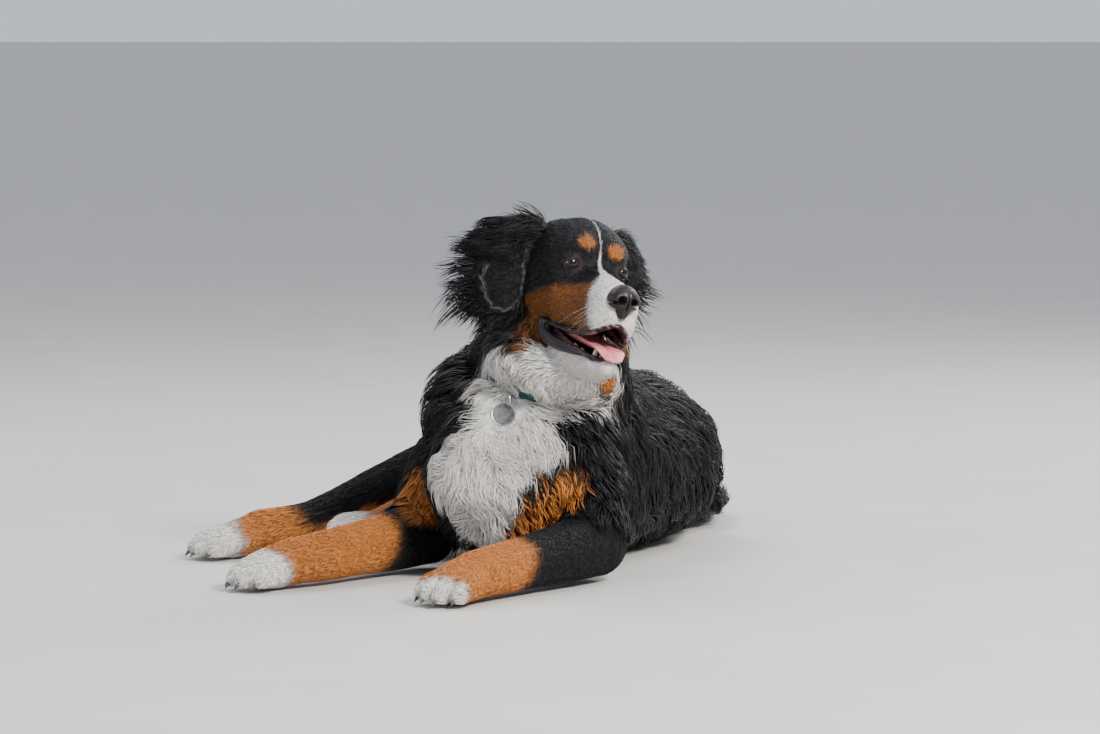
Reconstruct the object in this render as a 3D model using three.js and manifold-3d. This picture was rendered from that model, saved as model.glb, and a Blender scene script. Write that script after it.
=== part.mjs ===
// A young Bernese mountain dog at life size, lying on the floor: the chest is up on both
// forelegs, the hips are rolled onto the left side with both hind legs out to the right,
// the head is turned to the dog's left and the mouth is open. It wears a collar with one tag.
//
// Millimetres, +Z up. The dog faces -Y and +X is its left side. The origin is the middle
// of the flat under the brisket, where the chest rests on the floor at Z = 0.
import * as THREE from "three";
import { mergeVertices } from "three/addons/utils/BufferGeometryUtils.js";
import Module from "manifold-3d";

const wasm = await Module();
wasm.setup();

// Driving dimensions of the animal standing, and what follows from them.
const SHOULDER_HEIGHT = 600;
const FOREARM = 0.35 * SHOULDER_HEIGHT;
const FORE_FOOT = 0.24 * SHOULDER_HEIGHT;
const THIGH = 0.37 * SHOULDER_HEIGHT;
const SHANK = 0.35 * SHOULDER_HEIGHT;
const HIND_FOOT = 0.315 * SHOULDER_HEIGHT;
const GAP = 0.35;
const SHORTEST_EDGE = 0.45;

// The head's turn, tip and tilt, and the point between the eyes that carries it.
const HEAD_AT = new THREE.Vector3(124, -53, 411);
const HEAD_TURN = 52;
const HEAD_TIP = -1;
const HEAD_TILT = 12;

const BLACK = new THREE.MeshStandardMaterial({ name: "black_coat", color: 0x17161a, roughness: 0.55 });
const WHITE = new THREE.MeshStandardMaterial({ name: "white_coat", color: 0xe8e4de, roughness: 0.75 });
const RUST = new THREE.MeshStandardMaterial({ name: "rust_coat", color: 0xa8541c, roughness: 0.7 });
const NOSE = new THREE.MeshStandardMaterial({ name: "nose_leather", color: 0x1d1818, roughness: 0.35 });
const EYE = new THREE.MeshStandardMaterial({ name: "eye", color: 0x2a1508, roughness: 0.08 });
const TONGUE = new THREE.MeshStandardMaterial({ name: "tongue", color: 0xd98a94, roughness: 0.4 });
const STRAP = new THREE.MeshStandardMaterial({ name: "collar_webbing", color: 0x1b5a6e, roughness: 0.8 });
const METAL = new THREE.MeshStandardMaterial({ name: "steel", color: 0xb9bcc0, metalness: 1 });

const Z = new THREE.Vector3(0, 0, 1);
const vec = (x, y, z) => new THREE.Vector3(x, y, z);
const rad = THREE.MathUtils.degToRad;

// A unit vector by heading, 0 straight ahead and positive to the dog's left, and by rise.
function heading(turn, rise = 0) {
  const [t, r] = [rad(turn), rad(rise)];
  return vec(Math.sin(t) * Math.cos(r), -Math.cos(t) * Math.cos(r), Math.sin(r));
}

function toSolid(geometry) {
  const bare = geometry.clone();
  bare.deleteAttribute("normal");
  bare.deleteAttribute("uv");
  const merged = mergeVertices(bare, 1e-3);
  const corners = merged.index.array;
  const kept = [];
  for (let i = 0; i < corners.length; i += 3) {
    const [a, b, c] = corners.slice(i, i + 3);
    if (a !== b && b !== c && c !== a) kept.push(a, b, c);
  }
  return new wasm.Manifold(
    new wasm.Mesh({
      numProp: 3,
      vertProperties: merged.attributes.position.array,
      triVerts: new Uint32Array(kept),
    }),
  );
}

// Joining leaves some edges far shorter than a hair. Each is drawn together into one point,
// where the faces round it allow that without pinching the surface.
function toGeometry(solid) {
  const mesh = solid.getMesh();
  const points = [];
  for (let i = 0; i < mesh.vertProperties.length; i += 3) {
    points.push(vec(...mesh.vertProperties.slice(i, i + 3)));
  }
  const faces = [];
  const around = points.map(() => new Set());
  for (let i = 0; i < mesh.triVerts.length; i += 3) {
    const face = [...mesh.triVerts.slice(i, i + 3)];
    for (const corner of face) around[corner].add(faces.length);
    faces.push(face);
  }
  const neighbours = (v) => new Set([...around[v]].flatMap((f) => faces[f]).filter((w) => w !== v));
  const drawTogether = (keep, drop) => {
    for (const f of around[drop]) {
      if (faces[f].includes(keep)) {
        for (const corner of faces[f]) if (corner !== drop) around[corner].delete(f);
        faces[f] = null;
      } else {
        faces[f] = faces[f].map((w) => (w === drop ? keep : w));
        around[keep].add(f);
      }
    }
    around[drop].clear();
  };
  for (let pass = 0; pass < 3; pass++) {
    for (let f = 0; f < faces.length; f++) {
      for (let k = 0; k < 3 && faces[f]; k++) {
        const [a, b] = [faces[f][k], faces[f][(k + 1) % 3]];
        if (points[a].distanceTo(points[b]) > SHORTEST_EDGE) continue;
        const near = neighbours(a);
        const shared = [...neighbours(b)].filter((w) => near.has(w));
        if (shared.length === 2) drawTogether(a, b);
      }
    }
  }
  const geometry = new THREE.BufferGeometry().setFromPoints(points);
  geometry.setIndex(faces.filter((face) => face).flat());
  return mergeVertices(geometry, 1e-5);
}

// The largest closed body of a solid, without the scraps and sealed hollows that joining leaves.
function largest(solid) {
  return solid.decompose().reduce((a, b) => (b.volume() > a.volume() ? b : a));
}

const union = (solids) => wasm.Manifold.union(solids);

// A quilt of quads from rings of points, closed by a pole at each end.
function shell(rings, firstPole, lastPole) {
  const sides = rings[0].length;
  const points = [...rings.flat(), firstPole, lastPole];
  const [first, last] = [points.length - 2, points.length - 1];
  const faces = [];
  for (let k = 0; k < sides; k++) {
    const next = (k + 1) % sides;
    faces.push(first, k, next);
    for (let r = 0; r + 1 < rings.length; r++) {
      const [a, b] = [r * sides, (r + 1) * sides];
      faces.push(a + k, b + next, a + next, a + k, b + k, b + next);
    }
    const end = (rings.length - 1) * sides;
    faces.push(last, end + next, end + k);
  }
  const geometry = new THREE.BufferGeometry().setFromPoints(points);
  geometry.setIndex(faces);
  return geometry;
}

// A limb or trunk: oval rings along a smooth path. Each station is
// [x, y, z, half width, half height]; width is measured across "up", height along it.
class Trunk {
  constructor(stations, { up = Z, power = 2, dome = 0.55, curl = 0, caps = [55, 28] } = {}) {
    this.path = new THREE.CatmullRomCurve3(stations.map((s) => vec(s[0], s[1], s[2])));
    this.sizes = new THREE.CatmullRomCurve3(stations.map((s) => vec(s[3], s[4], 0)));
    this.count = stations.length;
    this.up = up;
    this.power = power;
    this.dome = dome;
    this.curl = curl;
    this.caps = caps;
  }

  frame(u) {
    const t = THREE.MathUtils.clamp(u, 0, 1);
    const along = this.path.getTangent(t);
    const side = new THREE.Vector3().crossVectors(along, this.up).normalize();
    const top = new THREE.Vector3().crossVectors(side, along).normalize();
    const centre = this.path.getPoint(t);
    const size = this.sizes.getPoint(t);
    return { centre, along, side, top, wide: size.x, high: size.y };
  }

  // The point at u along the path and at an angle in degrees from the side, 90 being on top.
  at(u, angle, lift = 0, shrink = 1) {
    const f = this.frame(THREE.MathUtils.clamp(u, 0, 1));
    const [c, s] = [Math.cos(rad(angle)), Math.sin(rad(angle))];
    const reach = (Math.abs(c) ** this.power + Math.abs(s) ** this.power) ** (-1 / this.power);
    return f.centre
      .addScaledVector(f.side, (f.wide + lift) * c * reach * shrink)
      .addScaledVector(f.top, (f.high + lift) * s * reach * shrink - this.curl * c * c * f.wide);
  }

  // The same point with the ends rounded off like half an egg where u is under 0 or over 1.
  over(u, angle) {
    const end = THREE.MathUtils.clamp(u, 0, 1);
    const f = this.frame(end);
    const dome = this.dome * Math.min(f.wide, f.high);
    const turn = ((u - end) * this.path.getLength()) / dome;
    return this.at(end, angle, 0, Math.cos(turn)).addScaledVector(f.along, dome * Math.sin(turn));
  }

  // The nearest u that is at most "turn" round the rounded ends.
  limit(u, turn = 1.1) {
    const end = THREE.MathUtils.clamp(u, 0, 1);
    const f = this.frame(end);
    const past = (turn * this.dome * Math.min(f.wide, f.high)) / this.path.getLength();
    return THREE.MathUtils.clamp(u, end - past, end + past);
  }

  // That point with the directions ahead and around per unit of u and degree, and outward.
  face(u, angle) {
    const point = this.over(u, angle);
    const ahead = this.over(u + 0.002, angle).sub(this.over(u - 0.002, angle)).divideScalar(0.004);
    const around = this.over(u, angle + 0.5).sub(this.over(u, angle - 0.5));
    return { point, ahead, around, normal: new THREE.Vector3().crossVectors(ahead, around).normalize() };
  }

  // The u of the place along the path that is nearest to a point.
  nearest(point) {
    const places = this.path.getPoints(4 * this.count);
    const gaps = places.map((p) => p.distanceTo(point));
    return gaps.indexOf(Math.min(...gaps)) / (4 * this.count);
  }

  geometry(grow = 0, steps = 3, sides = 16) {
    const rings = [];
    const total = (this.count - 1) * steps;
    const ends = [0, 1].map((u) => {
      const f = this.frame(u);
      const size = Math.min(f.wide, f.high) + Math.min(grow, 0);
      return { ...f, reach: this.dome * size + Math.max(grow, 0) };
    });
    const ring = (u, shrink, push) =>
      Array.from({ length: sides }, (_, k) =>
        this.at(u, (360 * k) / sides, grow, shrink).addScaledVector(ends[Math.round(u)].along, push),
      );
    for (const a of this.caps) rings.push(ring(0, Math.cos(rad(a)), -ends[0].reach * Math.sin(rad(a))));
    for (let i = 0; i <= total; i++) rings.push(ring(i / total, 1, 0));
    for (const a of [...this.caps].reverse())
      rings.push(ring(1, Math.cos(rad(a)), ends[1].reach * Math.sin(rad(a))));
    return shell(
      rings,
      ends[0].centre.clone().addScaledVector(ends[0].along, -ends[0].reach),
      ends[1].centre.clone().addScaledVector(ends[1].along, ends[1].reach),
    );
  }

  solid(grow = 0, steps = 3, sides = 16) {
    return toSolid(this.geometry(grow, steps, sides));
  }
}

// Random numbers that come out the same each time for one seed.
function seeded(seed) {
  let state = seed;
  return () => {
    state = (state * 1664525 + 1013904223) % 4294967296;
    return state / 4294967296;
  };
}

// Where a lock's cross-sections lie along it, how wide it is there and how deep in the coat,
// in shares of its length, its width and the coat's depth. It is flat and ends in a point.
const ROOT_SUNK = 4;
const LOCK_MARKS = [0, 0.3, 0.62, 0.86, 1];
const LOCK_WIDTHS = [0.8, 1, 0.82, 0.42];
const LOCK_DEPTHS = [0.7, 0.47, 0.15, 0.03, 0];
const RIDGE_SHARE = 0.65;

// One lock along five points with the outward direction at each. Its section is a low ridge
// over a flat underside, and "grow" makes it larger all round by about that much.
function lock(spine, normals, wide, thick, grow = 0) {
  const rings = LOCK_WIDTHS.map((share, i) => {
    const along = spine[i + 1].clone().sub(spine[Math.max(i - 1, 0)]).normalize();
    const side = new THREE.Vector3().crossVectors(along, normals[i]).normalize();
    const top = new THREE.Vector3().crossVectors(side, along).normalize();
    const half = (wide * share) / 2 + 6 * grow;
    const under = (RIDGE_SHARE - 1) * thick * share - 1.2 * grow;
    const edge = (turn) => spine[i].clone().addScaledVector(side, turn * half).addScaledVector(top, under);
    const over = RIDGE_SHARE * thick * (0.4 + 0.6 * share) + 1.5 * grow;
    const ridge = spine[i].clone().addScaledVector(top, over);
    return [edge(1), ridge, edge(-1)];
  });
  const end = spine[4].clone().sub(spine[3]).normalize();
  const start = spine[1].clone().sub(spine[0]).normalize();
  const middle = rings[0][0].clone().add(rings[0][1]).add(rings[0][2]).divideScalar(3);
  const root = middle.addScaledVector(start, -1 - grow);
  return toSolid(shell(rings, root, spine[4].clone().addScaledVector(end, 6 * grow)));
}

// The five points of a lock that starts at u and an angle on a trunk and follows "flow", a
// direction at each point, over the trunk's surface while it rises to the coat's outline.
const STEPS_PER_MARK = 3;
const LARGEST_TURN = 20;
function lie(trunk, u, angle, long, depth, flow) {
  const [spine, normals] = [[], []];
  let [here, turn] = [u, angle];
  LOCK_MARKS.forEach((mark, i) => {
    const steps = i === 0 ? 0 : STEPS_PER_MARK;
    const step = (long * (mark - (LOCK_MARKS[i - 1] ?? 0))) / STEPS_PER_MARK;
    let face = trunk.face(here, turn);
    for (let k = 0; k < steps; k++) {
      const want = flow(face.point, face.normal).projectOnPlane(face.normal).setLength(step);
      const { ahead, around } = face;
      const [a, b, c] = [ahead.dot(ahead), ahead.dot(around), around.dot(around)];
      const [e, f] = [ahead.dot(want), around.dot(want)];
      here = trunk.limit(here + (c * e - b * f) / (a * c - b * b));
      turn += THREE.MathUtils.clamp((a * f - b * e) / (a * c - b * b), -LARGEST_TURN, LARGEST_TURN);
      face = trunk.face(here, turn);
    }
    spine.push(face.point.clone().addScaledVector(face.normal, -depth * LOCK_DEPTHS[i]));
    normals.push(face.normal);
  });
  return { spine, normals };
}

// Rows of locks: how far apart they are in shares of a lock's length and width, how finely a
// trunk is searched for the next row, and the shorter lengths tried where a lock is in the way.
const ROW_PITCH = 0.62;
const LOCK_PITCH = 0.95;
const ROW_SEARCH = 240;
const SHORTER = [1, 0.75, 0.55];

// The distance round a trunk at u.
function girth(trunk, u) {
  let total = 0;
  for (let angle = 0; angle < 360; angle += 15) {
    total += trunk.at(u, angle).distanceTo(trunk.at(u, angle + 15));
  }
  return total;
}

// How far apart two places along a trunk are, measured on its sides and top.
function apart(trunk, a, b) {
  const angles = [0, 90, 180];
  const gaps = angles.map((angle) => trunk.at(a, angle).distanceTo(trunk.at(b, angle)));
  return gaps.reduce((sum, gap) => sum + gap, 0) / angles.length;
}

// Whether a lock's points have been pushed together, so that it would be crumpled.
function cramped(spine, long) {
  return spine.some((p, i) => {
    if (i === 0) return false;
    return p.distanceTo(spine[i - 1]) < 0.7 * long * (LOCK_MARKS[i] - LOCK_MARKS[i - 1]);
  });
}

// Locks in staggered rows over a trunk, evenly spread, each a little unlike the next.
// One that would run into another part's outline is shorter or left out.
function coatOf(trunk, coat, grow = 0) {
  const { depth, long, wide, thick, from, to, bare, crosses, flow, seed } = coat;
  const random = seeded(seed);
  const locks = [];
  const pitch = long * ROW_PITCH;
  const step = (to - from) / ROW_SEARCH;
  let travelled = 0;
  for (let i = 0, row = 0; i <= ROW_SEARCH; i++) {
    const u = from + step * i;
    travelled += i === 0 ? 0 : apart(trunk, u, u - step);
    if (travelled < row * pitch) continue;
    const count = Math.max(4, Math.round(girth(trunk, u) / (wide * LOCK_PITCH)));
    for (let k = 0; k < count; k++) {
      const angle = (360 * (k + (row % 2) / 2 + 0.3 * (random() - 0.5))) / count;
      const start = u + 0.1 * pitch * step * (random() - 0.5);
      const length = long * (0.85 + 0.3 * random());
      const width = wide * (0.88 + 0.24 * random());
      const sway = random() - 0.5;
      const face = trunk.face(start, angle);
      if (bare(face.point, face.normal)) continue;
      const swayed = (point, normal) => flow(point, normal).applyAxisAngle(normal, 0.5 * sway);
      for (const share of SHORTER) {
        const { spine, normals } = lie(trunk, start, angle, length * share, depth, swayed);
        if (cramped(spine, length * share) || spine.slice(2).some(crosses)) continue;
        locks.push(lock(spine, normals, width * (0.5 + share / 2), thick, grow));
        break;
      }
    }
    row++;
  }
  return locks;
}

// Whether a point lies inside a trunk's outline, shrunk by a share.
function within(trunk, point, share = 0.9) {
  const steps = 4 * (trunk.count - 1);
  for (let i = 0; i <= steps; i++) {
    const f = trunk.frame(i / steps);
    const off = point.clone().sub(f.centre);
    const slab = (trunk.path.getLength() / steps) * 1.2;
    if (Math.abs(off.dot(f.along)) > slab) continue;
    if (Math.hypot(off.dot(f.side) / f.wide, off.dot(f.top) / f.high) < share) return true;
  }
  return false;
}

// Joint positions, found along each leg from its elbow or hip.
function chain(start, steps) {
  const points = [start];
  for (const [length, turn, rise] of steps) {
    points.push(points.at(-1).clone().addScaledVector(heading(turn, rise), length));
  }
  return points;
}

const FORELEG = {
  right: chain(vec(-130, -52, 46), [
    [FOREARM, -15, -3],
    [FORE_FOOT, -27, -3],
  ]),
  left: chain(vec(128, -72, 46), [
    [FOREARM, -12, -3],
    [FORE_FOOT, -14, -3],
  ]),
};
const HINDLEG = {
  right: chain(vec(-45, 325, 150), [
    [THIGH, -51.5, -13],
    [SHANK, -41, -17],
    [HIND_FOOT, -41, -2],
  ]),
  left: chain(vec(50, 345, 75), [
    [THIGH - 20, -7, -7],
    [SHANK - 12, -74, -1],
    [HIND_FOOT, -41, 0],
  ]),
};

const station = (p, wide, high, drop = 0) => [p.x, p.y, p.z + drop, wide, high];
const between = (a, b, t) => a.clone().lerp(b, t);

// Torso stations run from the point of the chest to the rump.
const TORSO_STATIONS = [
  [0, -146, 116, 36, 30],
  [0, -138, 117, 58, 48],
  [0, -116, 119, 84, 70],
  [0, -78, 126, 108, 103],
  [0, -22, 138, 129, 140],
  [0, 40, 144, 138, 152],
  [0, 120, 138, 140, 146],
  [0, 200, 131, 134, 139],
  [0, 275, 124, 128, 132],
  [0, 345, 118, 126, 128],
  [0, 400, 110, 113, 111],
  [0, 436, 102, 88, 88],
  [0, 455, 99, 52, 54],
];
const TORSO_SHAPE = { power: 2.25, dome: 0.2 };
const TORSO = new Trunk(TORSO_STATIONS, TORSO_SHAPE);

const NECK = new Trunk(
  [
    [-2, 38, 180, 138, 124],
    [10, 22, 236, 132, 120],
    [30, 5, 284, 118, 109],
    [44, -4, 318, 98, 90],
  ],
  { up: vec(0, -1, 0), dome: 0.25 },
);

const TAIL_TRUNK = new Trunk([
  [0, 425, 92, 44, 44],
  [0, 480, 62, 46, 44],
  [-6, 545, 40, 50, 38],
  [-24, 620, 34, 52, 34],
  [-56, 690, 32, 48, 32],
  [-100, 752, 28, 36, 28],
  [-140, 788, 20, 20, 18],
]);

function foreleg(side, out) {
  const [elbow, wrist, tip] = FORELEG[side];
  const upper = new Trunk([
    station(vec(66 * out, -24, 182), 56, 60),
    station(vec(106 * out, -34, 118), 60, 62),
    station(elbow, 46, 50, 6),
  ]);
  const lower = new Trunk([
    station(elbow, 46, 46, 4),
    station(between(elbow, wrist, 0.3), 43, 42),
    station(between(elbow, wrist, 0.7), 37, 37),
    station(wrist, 37, 35),
    station(between(wrist, tip, 0.25), 38, 32),
  ]);
  return { trunks: [upper, lower], wrist, tip };
}

const TOE_PITCH = 20;

// One paw: the palm and four toes that fan out from it, each with a claw. "roll" leans the
// paw over on its outer toes, which then carry it.
function paw(wrist, tip, { wide = 36, high = 30, claw = 15, roll = 0 } = {}) {
  const ahead = tip.clone().sub(wrist).setZ(0).normalize();
  const level = new THREE.Vector3().crossVectors(ahead, Z).normalize();
  const [c, s] = [Math.cos(rad(roll)), Math.sin(rad(roll))];
  const across = level.clone().multiplyScalar(c).addScaledVector(Z, s);
  const up = Z.clone().multiplyScalar(c).addScaledVector(level, -s);
  const length = wrist.distanceTo(tip);
  const middle = high - 2;
  const place = (along, side, z) =>
    wrist
      .clone()
      .setZ(middle + 22 * s)
      .addScaledVector(ahead, along * length)
      .addScaledVector(across, side)
      .addScaledVector(up, z - middle);
  const palm = new Trunk(
    [
      station(place(0.26, 0, wrist.z - 2), wide, high),
      station(place(0.45, 0, middle), wide + 2, high),
      station(place(0.62, 0, middle - 4), wide, high - 4),
    ],
    { up, caps: [42] },
  );
  const solids = [palm.solid(0, 1, 8)];
  for (const row of [-1.5, -0.5, 0.5, 1.5]) {
    const side = row * TOE_PITCH;
    const reach = Math.abs(row) > 1 ? 0.83 : 0.92;
    const toe = new Trunk(
      [
        station(place(0.5, side * 0.8, high), 15, 16),
        station(place(reach - 0.16, side, 22), 14, 17),
        station(place(reach - 0.06, side, 15), 12, 14),
      ],
      { up, caps: [42] },
    );
    const nail = new Trunk(
      [
        station(place(reach, side, 13), 4, 5),
        station(place(reach + claw / length, side, 5), 1, 1.5),
      ],
      { up, dome: 0.3, caps: [] },
    );
    solids.push(toe.solid(0, 1, 6), nail.solid(0, 1, 4));
  }
  return union(solids);
}

// The left hind leg lies under the right one and its paw leans over.
const LOWER_PAW_ROLL = 30;

function hindleg(side) {
  const [hip, knee, hock, tip] = HINDLEG[side];
  const up = side === "right";
  const thigh = new Trunk([
    station(hip, up ? 84 : 60, up ? 92 : 60),
    station(between(hip, knee, 0.5), up ? 82 : 58, up ? 84 : 50),
    station(knee, up ? 62 : 46, up ? 60 : 46),
  ]);
  const shank = new Trunk([
    station(knee, up ? 62 : 46, up ? 60 : 46),
    station(between(knee, hock, 0.5), 46, up ? 48 : 42),
    station(hock, 36, 36),
    station(between(hock, tip, 0.35), 32, 31),
  ]);
  return { trunks: [thigh, shank], wrist: hock, tip, roll: up ? 0 : LOWER_PAW_ROLL };
}

// The head in its own frame: the origin is between the eyes, x to the dog's left,
// f forward and z up. Tapered ovals that melt into one another make the skull, brows,
// cheeks, muzzle, lips and throat: [x, f, z, half width, half height] at both ends.
const HEAD_FORMS = [
  { a: [0, -76, 10, 59, 53], b: [0, -46, 16, 58, 49], end: 0.95 },
  { a: [25, -16, 22, 19, 17], b: [25, -8, 22, 18, 15], end: 0.9, pair: true },
  { a: [36, -66, -30, 25, 40], b: [33, -14, -36, 20, 26], end: 0.8, pair: true },
  { a: [0, 0, -33, 34, 33], b: [0, 74, -46, 28, 27], end: 0.62 },
  { a: [30, -16, -64, 13, 22], b: [19, 66, -68, 13, 23], end: 0.9, pair: true },
  { a: [0, -88, -34, 52, 56], b: [0, -52, -66, 44, 46], end: 0.6 },
];
const HEAD_BLEND = 9;
const EYE_SIZE = 11.5;
const EYE_AT = [36, -4.5, -1];

function ovalDistance([x, f, z], a, b, end) {
  const run = [b[0] - a[0], b[1] - a[1], b[2] - a[2]];
  const length = Math.hypot(...run);
  const along = ((x - a[0]) * run[0] + (f - a[1]) * run[1] + (z - a[2]) * run[2]) / length;
  const t = THREE.MathUtils.clamp(along / length, 0, 1);
  const [wide, high] = [3, 4].map((i) => a[i] + (b[i] - a[i]) * t);
  const over = along - t * length;
  const off = [x, f, z].map((v, i) => v - a[i] - (run[i] / length) * along);
  const across = Math.hypot(off[0] / wide, off[1] / high, off[2] / high);
  const past = over / (end * Math.min(wide, high));
  return (Math.hypot(across, past) - 1) * Math.min(wide, high);
}

function headDistance(x, f, z) {
  let total = 0;
  for (const { a, b, end, pair } of HEAD_FORMS) {
    total += Math.exp(-ovalDistance([pair ? Math.abs(x) : x, f, z], a, b, end) / HEAD_BLEND);
  }
  return -HEAD_BLEND * Math.log(total);
}

const HEAD_BACK = -128;
const HEAD_FRONT = 92;
const MUZZLE_LINE = [-14, -50];
const HEAD_RINGS = 17;
const HEAD_SIDES = 18;

// How far from a point a ray inside the head goes before it leaves the skin.
function reach(inside, far) {
  let [low, high] = [0, far];
  while (high - low > 0.02) {
    const half = (low + high) / 2;
    if (inside(half)) low = half;
    else high = half;
  }
  return low;
}

// The head's skin: rings across the head, each point where the melted ovals end.
function skull(grow = 0) {
  const rings = [];
  const middle = (f) => THREE.MathUtils.mapLinear(f, HEAD_BACK, HEAD_FRONT, ...MUZZLE_LINE);
  const back = -reach((f) => headDistance(0, -f, middle(-f)) < grow, 200);
  const front = reach((f) => headDistance(0, f, middle(f)) < grow, 200);
  for (let i = 0; i < HEAD_RINGS; i++) {
    const turn = (Math.PI * (i + 0.6)) / (HEAD_RINGS + 0.2);
    const f = (back + front) / 2 - ((front - back) / 2) * Math.cos(turn);
    const ring = [];
    for (let k = 0; k < HEAD_SIDES; k++) {
      const [dx, dz] = [Math.cos(rad((360 * k) / HEAD_SIDES)), Math.sin(rad((360 * k) / HEAD_SIDES))];
      const far = reach((r) => headDistance(dx * r, f, middle(f) + dz * r) < grow, 140);
      ring.push(vec(dx * far, -f, middle(f) + dz * far));
    }
    rings.push(ring);
  }
  rings.reverse();
  const tip = (f) => vec(0, -f, middle(f));
  return toSolid(shell(rings, tip(front), tip(back)));
}

// Stations in the head's frame: [x, f, z, half width, half height].
const inHead = (rows) => rows.map(([x, f, z, wide, high]) => [x, -f, z, wide, high]);

const MOUTH = new Trunk(
  inHead([
    [0, -46, -84, 24, 14],
    [0, 0, -84, 26, 20],
    [0, 50, -84, 21, 21],
    [0, 100, -92, 18, 21],
  ]),
  { power: 2.6, dome: 0.4 },
);
const JAW = new Trunk(
  inHead([
    [0, -50, -92, 38, 26],
    [0, -14, -112, 34, 29],
    [0, 26, -124, 29, 25],
    [0, 56, -129, 23, 20],
    [0, 70, -129, 16, 16],
  ]),
  { power: 2.3, dome: 0.6 },
);
const JAW_TROUGH = new Trunk(
  inHead([
    [0, -60, -72, 23, 22],
    [0, -14, -90, 23, 17],
    [0, 26, -103, 19, 14],
    [0, 62, -112, 14, 11],
  ]),
  { power: 2.6, dome: 0.4 },
);
const TONGUE_TRUNK = new Trunk(
  inHead([
    [0, -44, -84, 18, 8],
    [0, -4, -92, 21, 7],
    [0, 36, -100, 22, 5.5],
    [0, 66, -106, 21, 4.5],
    [0, 82, -117, 15, 4],
  ]),
  { power: 2.4, dome: 0.9 },
);
const NOSE_PAD = new Trunk(
  inHead([
    [0, 80, -33, 17, 15],
    [0, 90, -36, 22, 18],
    [0, 98, -39, 21, 18],
    [0, 103, -42, 14, 12],
  ]),
  { power: 2.3, dome: 0.3 },
);

// Ball: a round of rings, used for the eyes and the seats they sit in.
function ball([x, f, z], size, sides = 12) {
  const geometry = new THREE.SphereGeometry(size, sides, Math.round(sides * 0.66));
  return toSolid(geometry.rotateX(Math.PI / 2).translate(x, -f, z));
}

// A lid is a thin roll bent round the eye from corner to corner, raised over it by "arch".
function lid(out, arch, thick) {
  const rows = [];
  const [ex, ef, ez] = EYE_AT;
  const radius = EYE_SIZE + 1.2;
  for (let i = 0; i <= 4; i++) {
    const across = rad(-78 + 39 * i);
    const rise = rad(arch) * Math.cos(across);
    rows.push([
      (ex + radius * Math.sin(across) * Math.cos(rise)) * out,
      ef + radius * Math.cos(across) * Math.cos(rise) - Math.abs(across) * 1.2,
      ez + radius * Math.sin(rise) - Math.sin(across) * 1.6,
      thick,
      thick * 1.1,
    ]);
  }
  return new Trunk(inHead(rows), { up: vec(0, -1, 0.2), dome: 0.8, caps: [40] });
}

function cone(x, f, z, tall, wide, lean) {
  return new Trunk(
    inHead([
      [x, f, z, wide, wide * 1.2],
      [x, f + lean * 0.4, z + tall * 0.5, wide * 0.75, wide * 0.85],
      [x * 1.02, f + lean, z + tall, 0.9, 0.9],
    ]),
    { up: vec(0, -1, 0), dome: 0.4, caps: [] },
  ).solid(0, 1, 5);
}

// Rows of [x, f, z, length, width, lean], each tooth on both sides.
const teeth = (rows, tall) =>
  [-1, 1].flatMap((out) =>
    rows.map(([x, f, z, size, wide, lean]) => cone(x * out, f, z, size * tall, wide, lean)),
  );
const UPPER_TEETH = [
  [15, 72, -66, 19, 3.6, 3],
  [19, 38, -66, 11, 4.5, 0],
  [22, 10, -66, 12, 5.5, 0],
];
const LOWER_TEETH = [
  [13, 62, -117, 17, 3.4, 3],
  [16, 32, -110, 9, 4, 0],
  [20, 4, -103, 10, 5.5, 0],
];

// An ear's leather hangs from the side of the skull, bent round so that it is cupped
// toward the head, and the wind lifts it out sideways.
function ear(out) {
  const row = (x, ...rest) => [x * out, ...rest];
  return new Trunk(
    inHead([
      row(50, -72, 38, 24, 9),
      row(70, -80, 22, 34, 8),
      row(88, -88, -10, 41, 7),
      row(90, -90, -44, 36, 6),
      row(82, -89, -74, 20, 5),
    ]),
    { up: vec(0.49 * out, -0.87, 0.12).normalize(), curl: 0.14, dome: 1.4, power: 2.2 },
  );
}

// A fringe lock stands straight out from a trunk, curving down a little toward its tip.
function fringeLock(trunk, u, angle, { toward, long, wide, thick, lift, sag }, grow) {
  const { point, normal } = trunk.face(u, angle);
  const spine = LOCK_MARKS.map((mark) =>
    point
      .clone()
      .addScaledVector(toward, long * mark)
      .addScaledVector(normal, (lift + ROOT_SUNK) * Math.sqrt(mark) - ROOT_SUNK)
      .addScaledVector(Z, -sag * mark * mark),
  );
  return lock(spine, Array(LOCK_MARKS.length).fill(normal), wide, thick, grow);
}

// The ear's leather with long hair that the wind spreads out over both faces and the rim.
const EAR_LEATHER = { right: ear(-1), left: ear(1) };
// Rows of ear locks: angle from the rim, how many, how long, and how far their tips stand off.
const EAR_LOCKS = [
  [80, 3, 62, 14],
  [-80, 3, 62, 12],
  [14, 4, 50, 5],
  [-30, 2, 52, 5],
];
const EAR_LOCK = { wide: 46, thick: 8 };
const EAR_TOP = { right: vec(-34, 66, 66), left: vec(34, 66, 66) };
function earSolid(side, grow) {
  const [leather, out] = [EAR_LEATHER[side], side === "left" ? 1 : -1];
  const random = seeded(out > 0 ? 53 : 47);
  const rim = out > 0 ? 180 : 0;
  const locks = [];
  for (const [turn, rows, long, lift] of EAR_LOCKS) {
    for (let i = 0; i < rows; i++) {
      const u = 0.06 + (0.9 * (i + 0.5 + 0.3 * (random() - 0.5))) / rows;
      const angle = rim + out * -turn;
      const from = leather.face(u, angle).point;
      const toward = from.clone().sub(EAR_TOP[side]).normalize().add(vec(0.8 * out, 0.12, 0)).normalize();
      const size = { long: long * (0.88 + 0.24 * random()), ...EAR_LOCK };
      locks.push(fringeLock(leather, u, angle, { ...size, toward, lift, sag: 8 * random() }, grow));
    }
  }
  return union([leather.solid(grow, 1, 14), ...locks]);
}

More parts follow.
